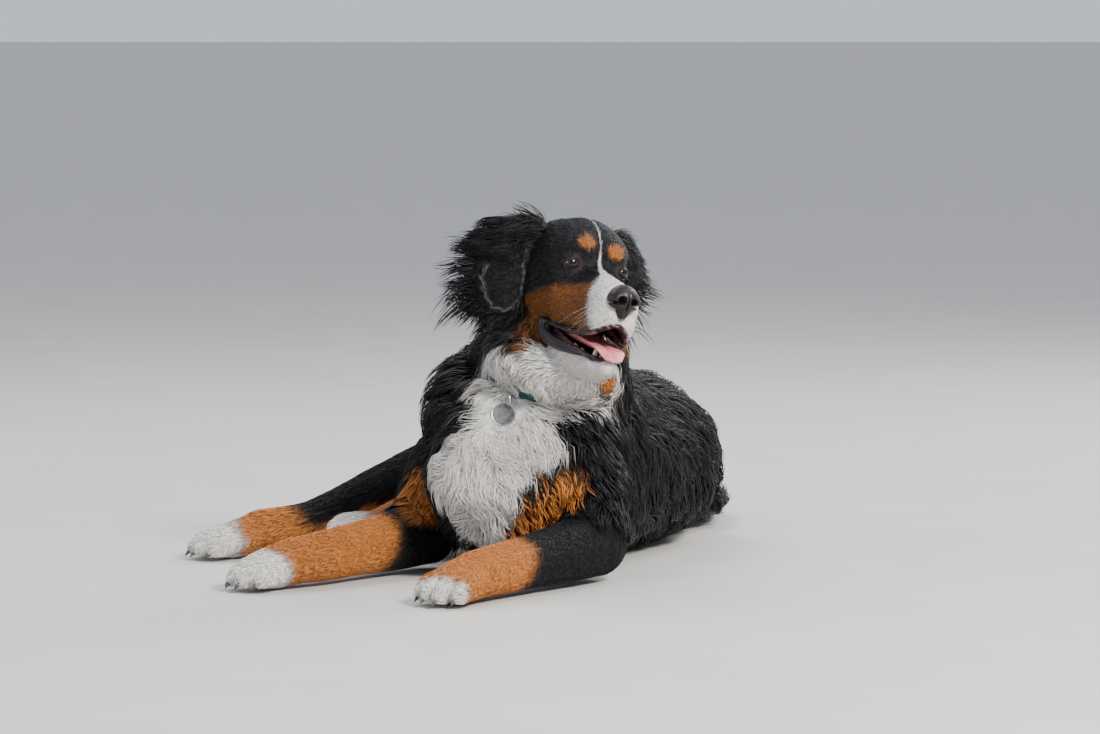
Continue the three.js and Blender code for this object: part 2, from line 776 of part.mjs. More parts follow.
// The collar sits in a groove of the neck's coat, low in front and high at the nape.
const COLLAR_AT = vec(27, 9, 268);
const COLLAR_AXIS = vec(0.25, -0.29, 0.93).normalize();
const COLLAR_RADIUS = 92;
const COLLAR_WIDTH = 25;
const COLLAR_THICK = 3;
const TAG_RADIUS = 16;
const TAG_THICK = 2;
const HOLE_RADIUS = 3.4;
const RING_RADIUS = 10;
const RING_WIRE = 1.5;
const COLLAR_FRONT = vec(19, -84, 244);
const TAG_FACING = vec(0.38, -0.86, 0.34).normalize();

// A round form turned about its axis from a closed outline of [radius, height] points.
function turned(outline, steps, at, axis) {
  const points = [...outline, outline[0]].map(([r, h]) => new THREE.Vector2(r, h));
  const geometry = new THREE.LatheGeometry(points, steps);
  const turn = new THREE.Quaternion().setFromUnitVectors(vec(0, 1, 0), axis);
  return toSolid(geometry.applyQuaternion(turn).translate(at.x, at.y, at.z));
}

// The ring hangs edge-on through the collar's loop and through the hole near the tag's rim.
function roundBar(radius, wire, at, axis, grow = 0) {
  const turn = new THREE.Quaternion().setFromUnitVectors(Z, axis);
  const geometry = new THREE.TorusGeometry(radius, wire + grow, 6, 14);
  return toSolid(geometry.applyQuaternion(turn).translate(at.x, at.y, at.z));
}

const OUTWARD = COLLAR_FRONT.clone().sub(COLLAR_AT).projectOnPlane(COLLAR_AXIS).normalize();
const DOWN = COLLAR_AXIS.clone().negate();
const FACE = COLLAR_AT.clone().addScaledVector(OUTWARD, COLLAR_RADIUS + COLLAR_THICK);
const LOOP_RADIUS = 5.5;
const LOOP_WIRE = 1.4;
const RING_AT = FACE.clone().addScaledVector(OUTWARD, RING_RADIUS + 1.9).addScaledVector(DOWN, 2);
const RING_AXIS = new THREE.Vector3().crossVectors(DOWN, OUTWARD).normalize();
const HANG = DOWN.clone().multiplyScalar(0.8).addScaledVector(OUTWARD, 0.6).normalize();
const HOLE_AT = RING_AT.clone().addScaledVector(HANG, RING_RADIUS);
const TAG_DOWN = new THREE.Vector3().crossVectors(TAG_FACING, RING_AXIS).normalize();
const TAG_HANG = (TAG_RADIUS - HOLE_RADIUS - 1.1) * -Math.sign(TAG_DOWN.z);
const TAG_CENTRE = HOLE_AT.clone().addScaledVector(TAG_DOWN, TAG_HANG);

const hangingRing = (grow = 0) => roundBar(RING_RADIUS, RING_WIRE, RING_AT, RING_AXIS, grow);

function hangingTag(grow = 0) {
  const [rim, thick] = [1.6, TAG_THICK / 2 + grow];
  const outline = [
    [0, -thick],
    [TAG_RADIUS + grow, -thick],
    [TAG_RADIUS + grow, thick + 0.6],
    [TAG_RADIUS - rim - grow, thick + 0.6],
    [TAG_RADIUS - rim - grow, thick],
    [0, thick],
  ];
  const face = turned(outline, 22, TAG_CENTRE, TAG_FACING);
  const hole = [
    [0, -6],
    [HOLE_RADIUS - grow, -6],
    [HOLE_RADIUS - grow, 6],
    [0, 6],
  ];
  return face.subtract(turned(hole, 12, HOLE_AT, TAG_FACING));
}

function band(grow = 0) {
  const half = COLLAR_WIDTH / 2 + grow;
  const outline = [
    [COLLAR_RADIUS - grow, -half],
    [COLLAR_RADIUS + COLLAR_THICK + grow, -half],
    [COLLAR_RADIUS + COLLAR_THICK + grow, half],
    [COLLAR_RADIUS - grow, half],
  ];
  return turned(outline, 36, COLLAR_AT, COLLAR_AXIS);
}

// The floor: nothing reaches below Z = 0, so what lies on it ends in a flat.
const onFloor = (solid) => solid.trimByPlane([0, 0, 1], 0);

const dog = new THREE.Group();
dog.name = "bernese_mountain_dog";

function add(name, solid, material, group = dog) {
  const mesh = new THREE.Mesh(toGeometry(largest(solid)), material);
  mesh.name = name;
  group.add(mesh);
  return mesh;
}

// The coat parts round the ring, lies flat behind the tag and shows a stretch of the collar.
const seat = turned(
  [
    [0, -TAG_THICK / 2 - 2 * GAP],
    [TAG_RADIUS + 2, -TAG_THICK / 2 - 2 * GAP],
    [TAG_RADIUS + 6, 42],
    [0, 42],
  ],
  20,
  TAG_CENTRE,
  TAG_FACING,
);
const stretch = new Trunk(
  [-6, 6, 18].map((turn) => {
    const out = OUTWARD.clone().applyAxisAngle(COLLAR_AXIS, rad(turn));
    return station(COLLAR_AT.clone().addScaledVector(out, COLLAR_RADIUS + COLLAR_THICK + 18), 26, 12);
  }),
  { up: COLLAR_AXIS, caps: [42] },
);
const aroundRing = toSolid(new THREE.SphereGeometry(15, 12, 8).translate(RING_AT.x, RING_AT.y, RING_AT.z));
const parting = union([aroundRing, seat, stretch.solid(0, 1, 12)]);

// The long coat: depth from skin to tip, and each lock's length, width and thickness. The
// solid core reaches half way out and the locks stand on it out to the coat's outline.
const BODY_COAT = { depth: 32, long: 156, wide: 98, thick: 11 };
const RUFF_COAT = { depth: 50, long: 96, wide: 92, thick: 13 };
const THIGH_COAT = { depth: 28, long: 150, wide: 92, thick: 11 };
const BIB = { depth: 36, long: 104, wide: 72, thick: 12, apart: 54, middle: 4 };
const half = (coat) => -coat.depth / 2;

const FORE = { right: foreleg("right", -1), left: foreleg("left", 1) };
const HIND = { right: hindleg("right"), left: hindleg("left") };
const coveredBy = (trunks, share) => (point) => trunks.some((t) => within(t, point, share));
const grounded = (point, normal) => point.z < 10 || normal.z < -0.6;

// On the body hair runs back, and down over the flanks.
const bodyFlow = (point) => vec(0, 1, -0.5 * Math.min(1, Math.abs(point.x) / 110));

// Where the outline of the chest and neck stands, seen from in front at a place across and up.
function frontAt(x, z, trunks) {
  let [out, inside] = [-230, 0];
  while (inside - out > 1) {
    const y = (out + inside) / 2;
    if (trunks.some((t) => within(t, vec(x, y, z), 1))) inside = y;
    else out = y;
  }
  return vec(x, out, z);
}

// The bib: rows of locks that fall down the breast, rooted at given heights.
function bibOf(rows, trunk, grow) {
  const random = seeded(rows[0]);
  const locks = [];
  rows.forEach((z, row) => {
    for (let k = 0; k < 4 - (row % 2); k++) {
      const x = BIB.middle + BIB.apart * (k - 1.5 + 0.5 * (row % 2)) + 10 * (random() - 0.5);
      const long = BIB.long * (0.9 + 0.25 * random());
      const sway = 0.5 * (random() - 0.5);
      const spine = LOCK_MARKS.map((mark) => frontAt(x + sway * long * mark, z - long * mark, [trunk]));
      const normals = spine.map((p) => {
        const [right, above] = [frontAt(p.x + 8, p.z, [trunk]), frontAt(p.x, p.z + 8, [trunk])];
        return new THREE.Vector3().crossVectors(right.sub(p), above.sub(p)).normalize();
      });
      spine.forEach((p, i) => p.addScaledVector(normals[i], -BIB.depth * LOCK_DEPTHS[i]));
      locks.push(lock(spine, normals, BIB.wide, BIB.thick, grow));
    }
  });
  return locks;
}

const LIMBS = [HIND.right, HIND.left, FORE.right, FORE.left].flatMap((limb) => limb.trunks);
const overBody = [NECK, TAIL_TRUNK, ...LIMBS];
// Where the dog lies on its coat the hair is pressed flat, so the trunk's core comes down to
// the floor there.
const PRESSED = BODY_COAT.depth / 4;
const TORSO_CORE = new Trunk(
  TORSO_STATIONS.map(([x, y, z, wide, high]) => [x, y, z - PRESSED, wide, high + PRESSED]),
  TORSO_SHAPE,
);

function torsoSolid(grow) {
  const crosses = coveredBy(overBody, 0.98);
  const bare = (point, normal) => grounded(point, normal) || coveredBy(overBody, 0.95)(point);
  const coat = { ...BODY_COAT, from: 0.24, to: 0.97, bare, crosses, flow: bodyFlow, seed: 11 };
  const bib = bibOf([152, 96], TORSO, grow);
  const core = TORSO_CORE.solid(half(BODY_COAT) + grow, 1, 16);
  return union([core, ...coatOf(TORSO, coat, grow), ...bib]);
}
add("torso", onFloor(torsoSolid(0)).subtract(band(GAP)).subtract(parting), BLACK);
const torsoClear = torsoSolid(GAP).add(torsoSolid(0));

// The ruff falls down the neck on every side, and forward over the breast.
function neckSolid(grow) {
  const flow = (point) => vec(0.3 * (point.x - 25), 0.25 * point.y, -90).normalize();
  const bare = coveredBy([TORSO], 0.9);
  const coat = { ...RUFF_COAT, from: 1, to: 0.1, bare, crosses: coveredBy([TORSO], 0.9), flow, seed: 23 };
  return union([NECK.solid(half(RUFF_COAT) + grow, 1, 14), ...coatOf(NECK, coat, grow)]);
}
const neckClear = neckSolid(GAP).add(neckSolid(0));

// The tail's plume: locks along both sides of it, flat on the floor.
const PLUME = { wide: 62, thick: 11, lift: 4, sag: 6 };
function tailSolid(grow) {
  const random = seeded(31);
  const locks = [];
  for (const turn of [8, 90, 172]) {
    for (const u of [0.3, 0.52, 0.74]) {
      const face = TAIL_TRUNK.face(u, turn);
      const toward = face.ahead.clone().normalize().addScaledVector(face.normal.clone().setZ(0), 0.3);
      const shape = { ...PLUME, toward: toward.normalize(), long: 100 + 24 * random() };
      locks.push(fringeLock(TAIL_TRUNK, u, turn, shape, grow));
    }
  }
  return union([TAIL_TRUNK.solid(grow - 12, 1, 10), ...locks]);
}
const rumpClear = TORSO_CORE.solid(half(BODY_COAT) + 3 * GAP, 1, 16);
add("tail", onFloor(tailSolid(0)).subtract(torsoClear).subtract(rumpClear), BLACK);

// Feathering lies along both sides of the forearm's underside and stands behind the elbow.
const FEATHER = { wide: 46, thick: 9, lift: 7 };
function forelegSolid(side, grow) {
  const { trunks } = FORE[side];
  const random = seeded(side === "right" ? 61 : 67);
  const locks = [];
  for (const turn of [-22, 202]) {
    for (const u of [0.02, 0.28, 0.54]) {
      const face = trunks[1].face(u, turn);
      const toward = face.ahead.clone().normalize().addScaledVector(face.normal.clone().setZ(0), 0.22);
      const shape = { ...FEATHER, toward: toward.normalize(), long: 84 + 16 * random(), sag: 4 * random() };
      locks.push(fringeLock(trunks[1], u, turn, shape, grow));
    }
  }
  const [upper, lower] = trunks;
  const bare = (point, normal) => grounded(point, normal) || coveredBy([TORSO, NECK], 0.95)(point);
  const flow = () => vec(0, 0.35, -1);
  const crosses = coveredBy([TORSO, lower], 0.9);
  const coat = { ...THIGH_COAT, from: 0, to: 0.9, bare, crosses, flow, seed: 83 };
  locks.push(...coatOf(upper, coat, grow));
  return union([upper.solid(half(THIGH_COAT) + grow, 1, 12), lower.solid(grow, 1, 12), ...locks]);
}

// Breeches: the thigh's long hair runs down it and back, to the hock on the outer side.
function hindlegSolid(side, grow) {
  const [thigh, shank] = HIND[side].trunks;
  const bare = (point, normal) => grounded(point, normal) || within(TORSO, point, 1);
  const flow = (point) => thigh.face(thigh.nearest(point), 0).ahead.normalize().add(vec(0, 0.3, -0.35));
  const coat = { ...THIGH_COAT, from: 0.02, to: 0.9, bare, crosses: coveredBy([TORSO], 1), flow, seed: 71 };
  const locks = coatOf(thigh, coat, grow);
  return union([thigh.solid(half(THIGH_COAT) + grow, 1, 12), shank.solid(grow, 1, 12), ...locks]);
}

for (const side of ["right", "left"]) {
  const fore = FORE[side];
  const hind = HIND[side];
  add(`foreleg_${side}`, onFloor(forelegSolid(side, 0)).subtract(torsoClear).subtract(neckClear), BLACK);
  add(`forepaw_${side}`, onFloor(paw(fore.wrist, fore.tip)).subtract(forelegSolid(side, GAP)), RUST);
  add(`hindleg_${side}`, onFloor(hindlegSolid(side, 0)).subtract(torsoClear), BLACK);
  const foot = paw(hind.wrist, hind.tip, { wide: 32, high: 28, claw: 13, roll: hind.roll });
  add(`hindpaw_${side}`, onFloor(foot).subtract(hindlegSolid(side, GAP)), RUST);
}

const head = new THREE.Group();
head.name = "head_parts";
head.position.copy(HEAD_AT);
head.rotation.set(rad(HEAD_TIP), rad(HEAD_TILT), rad(HEAD_TURN), "ZXY");
head.updateMatrix();
dog.add(head);
const headToWorld = (solid) => solid.transform(head.matrix.toArray());

const eyeBall = (out, grow = 0) => ball([EYE_AT[0] * out, EYE_AT[1], EYE_AT[2]], EYE_SIZE + grow);
const lids = [-1, 1].flatMap((out) => [lid(out, 34, 3.4), lid(out, -30, 3)]).map((t) => t.solid(0, 1, 5));
const nostrils = (grow = 0) =>
  union(
    [-1, 1].map((out) =>
      new Trunk(
        inHead([
          [7 * out, 90, -38, 3.4 + grow, 4.2 + grow],
          [8.5 * out, 103, -40, 3.8 + grow, 4.6 + grow],
          [17 * out, 106, -42, 2.4 + grow, 2.4 + grow],
        ]),
        { caps: [40] },
      ).solid(0, 1, 6),
    ),
  );

let headSolid = union([skull(), ...lids])
  .subtract(MOUTH.solid(0, 1, 14))
  .add(union(teeth(UPPER_TEETH, -1)))
  .subtract(union([eyeBall(-1, GAP), eyeBall(1, GAP)]))
  .subtract(NOSE_PAD.solid(GAP, 1, 12));
const jaw = JAW.solid(0, 1, 14).subtract(JAW_TROUGH.solid(0, 1, 10)).add(union(teeth(LOWER_TEETH, 1)));
const tongueClear = TONGUE_TRUNK.solid(GAP, 1, 12);
headSolid = headSolid.subtract(JAW.solid(GAP, 1, 14)).subtract(tongueClear);
add("lower_jaw", jaw.subtract(tongueClear), WHITE, head);
add("tongue", TONGUE_TRUNK.solid(0, 1, 12), TONGUE, head);
add("nose", NOSE_PAD.solid(0, 1, 12).subtract(nostrils()), NOSE, head);
add("eye_right", eyeBall(-1), EYE, head);
add("eye_left", eyeBall(1), EYE, head);
add("head", headSolid, BLACK, head);
const skullClear = skull(2 * GAP);
for (const side of ["right", "left"]) {
  add(`ear_${side}`, earSolid(side, 0).subtract(skullClear), BLACK, head);
}
const earsClear = [earSolid("right", GAP), earSolid("left", GAP)];
const headClear = union([skullClear, MOUTH.solid(1.5, 1, 14), JAW.solid(GAP, 1, 14), ...earsClear]);
const neck = neckSolid(0).subtract(torsoClear).subtract(headToWorld(headClear));
add("neck", neck.subtract(band(GAP)).subtract(parting), BLACK);
const collar = band().add(roundBar(LOOP_RADIUS, LOOP_WIRE, FACE, COLLAR_AXIS));
add("collar", collar, STRAP);
add("collar_ring", hangingRing(), METAL);
add("tag", hangingTag(), METAL);

export default dog;
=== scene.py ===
"""A young Bernese mountain dog lying on a pale studio floor: chest up, head turned to its
left, mouth open, a collar with a bare round tag in its ruff.

One skin is drawn from the same ovals as the solids, and the coat on it is a great many thin
mesh tufts that follow the lie of the hair. Everything is in metres in the frame of the solids."""

import copy
import itertools
import math
from collections import namedtuple
from contextlib import contextmanager

import bpy
import numpy as np
import openvdb
from mathutils import Matrix, Vector
from mathutils.kdtree import KDTree


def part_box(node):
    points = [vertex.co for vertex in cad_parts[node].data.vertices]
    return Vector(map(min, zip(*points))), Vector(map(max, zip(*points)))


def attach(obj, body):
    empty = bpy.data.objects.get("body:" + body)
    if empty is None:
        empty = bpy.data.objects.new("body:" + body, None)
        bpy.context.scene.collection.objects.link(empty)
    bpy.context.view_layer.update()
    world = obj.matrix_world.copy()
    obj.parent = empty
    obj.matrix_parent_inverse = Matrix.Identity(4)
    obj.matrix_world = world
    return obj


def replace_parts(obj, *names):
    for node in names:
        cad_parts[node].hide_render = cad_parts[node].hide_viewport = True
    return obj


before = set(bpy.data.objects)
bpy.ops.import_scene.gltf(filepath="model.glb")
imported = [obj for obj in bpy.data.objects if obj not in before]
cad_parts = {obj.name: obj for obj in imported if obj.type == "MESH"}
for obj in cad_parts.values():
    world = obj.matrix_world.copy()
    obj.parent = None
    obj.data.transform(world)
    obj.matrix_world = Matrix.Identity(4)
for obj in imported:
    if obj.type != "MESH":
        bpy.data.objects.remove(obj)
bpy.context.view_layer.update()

bl_info = {
    "name": "Bernese mountain dog",
    "version": (1, 0, 0),
    "blender": (4, 5, 0),
    "location": "View3D > Sidebar > Dog",
    "description": "Builds the skin, coat, head details, collar and stage of a lying dog",
    "category": "Object",
}

MM = 0.001
# What the field holds where no oval is near, in metres.
FAR = 0.2
SEED = 20
SIDES = (("right", -1), ("left", 1))

# The legs' lengths follow from the height at the shoulder, in millimetres.
SHOULDER = 600
FOREARM, FORE_FOOT = 0.35 * SHOULDER, 0.24 * SHOULDER
THIGH, SHANK, HIND_FOOT = 0.37 * SHOULDER, 0.35 * SHOULDER, 0.315 * SHOULDER

# Where the head's frame stands in millimetres, and its turns in degrees.
HEAD_AT = np.array([124.0, -53.0, 411.0])
HEAD_TURN, HEAD_TIP, HEAD_TILT = (
    Matrix.Rotation(math.radians(angle), 3, axis) for angle, axis in ((52, "Z"), (-1, "X"), (12, "Y"))
)
HEAD_MATRIX = np.array(HEAD_TURN @ HEAD_TIP @ HEAD_TILT)
EYE_AT = (36.0, -4.5, -1.0)


def turned_with_head(rows):
    """Rows of (x, forward, up) in the head's frame, turned into the world."""
    return np.stack([rows[:, 0], -rows[:, 1], rows[:, 2]], axis=1) @ HEAD_MATRIX.T


def head_to_world(rows):
    """Points as (x, forward, up) millimetres in the head's frame, to metres in the world."""
    return (HEAD_AT + turned_with_head(np.atleast_2d(np.asarray(rows, float)))) * MM


def world_rows(rows, up, on_head):
    """A path's rows and its upward way, both turned out of the head's frame if they are in it."""
    rows, up = np.array(rows, float), np.asarray(up, float)
    if on_head:
        rows[:, :3] = head_to_world(rows[:, :3]) / MM
        up = HEAD_MATRIX @ up
    return rows, up


def mirrored(rows, out):
    return [[row[0] * out] + list(row[1:]) for row in rows]


def eye_frame(out):
    """An eye's centre in the world, and the ways its slit looks, runs outward and rises."""
    x, f, z = EYE_AT
    centre = head_to_world([[x * out, f, z]])[0]
    ahead = unit(head_direction(0.42 * out, 0.9, 0.02))
    outer = head_direction(1.0 * out, -0.42, -0.06)
    outer = unit(outer - ahead * (outer @ ahead))
    upper = np.cross(ahead, outer)
    return centre, ahead, outer, upper * np.sign(upper @ head_direction(0, 0, 1))


def head_direction(x, forward, up):
    return HEAD_MATRIX @ np.array([x, -forward, up], float)


def world_to_head(points):
    """World metres to (x, forward, up) millimetres in the head's frame."""
    local = (np.asarray(points) / MM - HEAD_AT) @ HEAD_MATRIX
    return np.stack([local[:, 0], -local[:, 1], local[:, 2]], axis=1)


def from_eye(h):
    """How far places in the head's frame are from the nearer eye, in millimetres."""
    return np.linalg.norm(np.stack([np.abs(h[:, 0]), h[:, 1], h[:, 2]], axis=1) - EYE_AT, axis=1)


def unit(v):
    v = np.asarray(v, float)
    return v / np.maximum(np.linalg.norm(v, axis=-1, keepdims=True), 1e-9)


def smooth(low, high, value):
    t = np.clip((value - low) / (high - low), 0, 1)
    return t * t * (3 - 2 * t)


# The ovals of the body.


def catmull(rows, per):
    """Points on a smooth curve through the rows, "per" of them for each step."""
    p = np.asarray(rows, float)
    p = np.vstack([2 * p[0] - p[1], p, 2 * p[-1] - p[-2]])
    out = []
    for i in range(1, len(p) - 2):
        a, b, c, d = p[i - 1 : i + 3]
        gaps = [max(np.linalg.norm(q - r), 1e-6) ** 0.5 for q, r in ((b, a), (c, b), (d, c))]
        m1 = ((b - a) / gaps[0] - (c - a) / (gaps[0] + gaps[1]) + (c - b) / gaps[1]) * gaps[1]
        m2 = ((c - b) / gaps[1] - (d - b) / (gaps[1] + gaps[2]) + (d - c) / gaps[2]) * gaps[1]
        for t in np.arange(per) / per:
            out.append(
                (2 * t**3 - 3 * t**2 + 1) * b + (t**3 - 2 * t**2 + t) * m1
                + (3 * t**2 - 2 * t**3) * c + (t**3 - t**2) * m2
            )
    out.append(p[-2])
    return np.array(out)


class Trunk:
    """Ovals along a path: rows of x, y, z, half width and half height in millimetres."""

    def __init__(self, rows, up=(0, 0, 1), inset=0.0, curl=0.0, per=2, on_head=False):
        rows, up = world_rows(rows, up, on_head)
        path = catmull(rows[:, :3], per) * MM
        size = np.maximum(catmull(rows[:, 3:], per) - inset, 1.5) * MM
        self.a, self.b = path[:-1], path[1:]
        run = self.b - self.a
        self.length = np.linalg.norm(run, axis=1)
        self.along = run / self.length[:, None]
        self.side = unit(np.cross(self.along, up))
        self.top = np.cross(self.side, self.along)
        self.wide, self.high = (np.stack([size[:-1, i], size[1:, i]], axis=1) for i in (0, 1))
        self.curl = curl
        self.count = len(self.a)

    def near(self, i, x, y, z):
        """How far outside oval i the places lie, with the place along it and across it."""
        o = [v - self.a[i][k] for k, v in enumerate((x, y, z))]
        dot = lambda axis: o[0] * axis[0] + o[1] * axis[1] + o[2] * axis[2]
        along = dot(self.along[i])
        t = np.clip(along / self.length[i], 0, 1)
        wide = self.wide[i][0] + (self.wide[i][1] - self.wide[i][0]) * t
        high = self.high[i][0] + (self.high[i][1] - self.high[i][0]) * t
        small = np.minimum(wide, high)
        rs = dot(self.side[i]) / wide
        rt = (dot(self.top[i]) + self.curl * wide * np.minimum(rs * rs, 1.5)) / high
        ra = (along - t * self.length[i]) / small
        return (np.sqrt(rs * rs + rt * rt + ra * ra) - 1) * small, t, rs, rt

    def box(self, margin):
        size = np.maximum(self.wide, self.high).max(axis=1)[:, None] + margin
        return np.minimum(self.a, self.b) - size, np.maximum(self.a, self.b) + size

    def nearest(self, points):
        """Distance, place along (0 to 1), angle and direction of the nearest oval."""
        best = np.full(len(points), 1e3)
        u, angle, flow = np.zeros(len(points)), np.zeros(len(points)), np.zeros((len(points), 3))
        for i in range(self.count):
            d, t, rs, rt = self.near(i, points[:, 0], points[:, 1], points[:, 2])
            m = d < best
            best[m] = d[m]
            u[m] = (i + t[m]) / self.count
            angle[m] = np.arctan2(rt[m], rs[m])
            flow[m] = self.along[i]
        return best, u, angle, flow


def heading(turn, rise=0.0):
    t, r = math.radians(turn), math.radians(rise)
    return np.array([math.sin(t) * math.cos(r), -math.cos(t) * math.cos(r), math.sin(r)])


def chain(start, steps):
    points = [np.array(start, float)]
    for length, turn, rise in steps:
        points.append(points[-1] + heading(turn, rise) * length)
    return points


def station(p, wide, high, drop=0.0):
    return [p[0], p[1], p[2] + drop, wide, high]


def between(a, b, t):
    return a + (b - a) * t


FORELEG = {
    "right": chain((-130, -52, 46), [(FOREARM, -15, -3), (FORE_FOOT, -27, -3)]),
    "left": chain((128, -72, 46), [(FOREARM, -12, -3), (FORE_FOOT, -14, -3)]),
}
HINDLEG = {
    "right": chain((-45, 325, 150), [(THIGH, -51.5, -13), (SHANK, -41, -17), (HIND_FOOT, -41, -2)]),
    "left": chain((50, 345, 75), [(THIGH - 20, -7, -7), (SHANK - 12, -74, -1), (HIND_FOOT, -41, 0)]),
}

# How far each hind paw leans over.
HIND_ROLL = {"right": 0, "left": 30}

TORSO_ROWS = [
    [0, -146, 116, 36, 30], [0, -138, 117, 58, 48], [0, -116, 119, 84, 70], [0, -78, 126, 108, 103],
    [0, -22, 138, 129, 140], [0, 40, 144, 138, 152], [0, 120, 138, 140, 146], [0, 200, 131, 134, 139],
    [0, 275, 124, 128, 132], [0, 345, 118, 126, 128], [0, 400, 110, 113, 111], [0, 436, 102, 88, 88],
    [0, 455, 99, 52, 54],
]
NECK_ROWS = [[-2, 38, 180, 138, 124], [10, 22, 236, 132, 120], [30, 5, 284, 118, 109], [44, -4, 318, 98, 90]]
# The full white fur of the throat, a soft roll that hangs over the collar.
THROAT_ROWS = [
    [-24, -30, 296, 20, 20], [4, -62, 286, 27, 26], [42, -76, 277, 31, 29], [82, -70, 268, 31, 30],
    [112, -38, 266, 27, 28],
]
# The thick mane on the right shoulder.
MANE_ROWS = [[-58, 34, 264, 30, 32], [-70, -8, 242, 37, 38], [-84, -44, 204, 40, 38]]
TAIL_ROWS = [
    [0, 425, 92, 44, 44], [0, 480, 62, 46, 44], [-6, 545, 40, 50, 38], [-24, 620, 34, 52, 34],
    [-56, 690, 32, 48, 32], [-100, 752, 28, 36, 28], [-140, 788, 20, 20, 18],
]
EAR_ROWS = [
    [50, -72, 38, 24, 9], [70, -80, 22, 34, 8], [88, -88, -10, 41, 7], [90, -90, -44, 36, 6],
    [82, -89, -74, 20, 5],
]
# The head's melted ovals: two ends, how far they round off, and whether there is one each side.
HEAD_FORMS = [
    ([0, -76, 10, 59, 53], [0, -46, 16, 58, 49], 0.95, False),
    ([25, -16, 22, 19, 17], [25, -8, 22, 18, 15], 0.9, True),
    ([36, -66, -30, 25, 40], [33, -14, -36, 20, 26], 0.8, True),
    ([0, 0, -33, 34, 33], [0, 74, -46, 28, 27], 0.62, False),
    ([30, -16, -64, 13, 22], [19, 66, -68, 13, 23], 0.9, True),
    ([0, -88, -34, 52, 56], [0, -52, -66, 44, 46], 0.6, False),
]
HEAD_BLEND = 9.0
MOUTH_ROWS = [[0, -46, -84, 24, 14], [0, 0, -84, 26, 20], [0, 50, -84, 21, 21], [0, 84, -95, 15, 19]]
JAW_ROWS = [
    [0, -50, -92, 38, 26], [0, -14, -112, 34, 29], [0, 26, -124, 29, 25], [0, 56, -129, 23, 20],
    [0, 70, -129, 16, 16],
]
TROUGH_ROWS = [[0, -60, -72, 23, 22], [0, -14, -90, 23, 17], [0, 26, -103, 19, 14], [0, 62, -112, 14, 11]]
TONGUE_ROWS = [
    [0, -44, -84, 18, 8], [0, -4, -92, 21, 7], [0, 36, -100, 22, 5.5], [0, 62, -105, 22.5, 4.6],
    [0, 78, -110, 21, 4], [0, 88, -119, 14, 3],
]

# The upper and the lower lip of each side; the upper one hangs 7 mm lower on the left.
LIPS = []
for out, low in ((-1, 0), (1, 7)):
    upper_lip = [
        [45, -40, -77, 2.6, 2.6], [41, -16, -83, 2.8, 3.4], [38, 10, -87, 2.8, 3.8],
        [33, 38, -90 - 0.6 * low, 2.8, 4], [28, 60, -89 - low, 2.6, 4], [20, 79, -83 - low, 2.4, 3.2],
        [9, 89, -77 - 0.4 * low, 2.2, 2.6], [0, 91, -75, 2.2, 2.4],
    ]
    lower_lip = [
        [46, -42, -81, 4.4, 6], [45, -29, -97, 4.8, 8], [39.5, -4, -107, 4.6, 8], [32, 30, -113, 3.8, 6.4],
        [24, 56, -117, 2.8, 4.2], [13, 74, -120, 2.6, 3.4], [0, 79, -121, 2.4, 3],
    ]
    LIPS += [mirrored(upper_lip, out), mirrored(lower_lip, out)]


def foreleg(side, out):
    elbow, wrist, tip = FORELEG[side]
    upper = [
        station((66 * out, -24, 182), 56, 60),
        station((106 * out, -34, 118), 60, 62),
        station(elbow, 46, 50, 6),
    ]
    lower = [
        station(elbow, 46, 46, 4),
        station(between(elbow, wrist, 0.3), 43, 42),
        station(between(elbow, wrist, 0.7), 37, 37),
        station(wrist, 37, 35),
        station(between(wrist, tip, 0.25), 38, 32),
    ]
    return Trunk(upper, inset=14), Trunk(lower, inset=3)


def hindleg(side):
    hip, knee, hock, tip = HINDLEG[side]
    up = side == "right"
    thigh = [
        station(hip, 84 if up else 60, 92 if up else 60),
        station(between(hip, knee, 0.5), 82 if up else 58, 84 if up else 50),
        station(knee, 62 if up else 46, 60 if up else 46),
    ]
    shank = [
        station(knee, 62 if up else 46, 60 if up else 46),
        station(between(knee, hock, 0.5), 46, 48 if up else 42),
        station(hock, 36, 36),
        station(between(hock, tip, 0.35), 32, 31),
    ]
    return Trunk(thigh, inset=14), Trunk(shank, inset=4)


def paw(wrist, tip, wide=36, high=30, claw=15, roll=0):
    """The palm and toes of a paw as trunks and its claws as rows; "roll" leans it on its outer toes."""
    ahead = unit(np.array([tip[0] - wrist[0], tip[1] - wrist[1], 0]))
    c, s = math.cos(math.radians(roll)), math.sin(math.radians(roll))
    level, upright = np.cross(ahead, (0, 0, 1)), np.array([0.0, 0, 1])
    across, up = level * c + upright * s, upright * c - level * s
    length = np.linalg.norm(tip - wrist)
    middle = high - 2

    def place(along, side, z):
        p = wrist + ahead * along * length + across * side + up * (z - middle)
        return p + [0, 0, middle + 22 * s - wrist[2]]

    palm = Trunk(
        [
            station(place(0.26, 0, wrist[2] - 2), wide, high),
            station(place(0.45, 0, high - 2), wide + 2, high),
            station(place(0.62, 0, high - 6), wide, high - 4),
        ],
        up=up,
        inset=2,
    )
    toes, claws = [], []
    for row in (-1.5, -0.5, 0.5, 1.5):
        outer, side = abs(row) > 1, row * 20
        reach = 0.83 if outer else 0.92
        toes.append(
            Trunk(
                [
                    station(place(0.5, side * 0.8, high), 13, 15),
                    station(place(reach - 0.16, side, 22), 12.5, 16),
                    station(place(reach - 0.06, side, 15), 10.5, 12.5),
                ],
                up=up,
                inset=0.5,
            )
        )
        curve = ((-0.6, 12, 3.4), (-0.1, 11, 3.0), (0.2, 8.5, 2.0), (0.4, 5, 0.7))
        claws.append([station(place(reach + t * claw / length, side, z), w * 0.8, w) for t, z, w in curve])
    return palm, toes, claws


# The field: how far each place is outside the skin.


# The steps of the grid in metres: fine round the head, coarse elsewhere.
FINE, COARSE = 0.00245, 0.0073


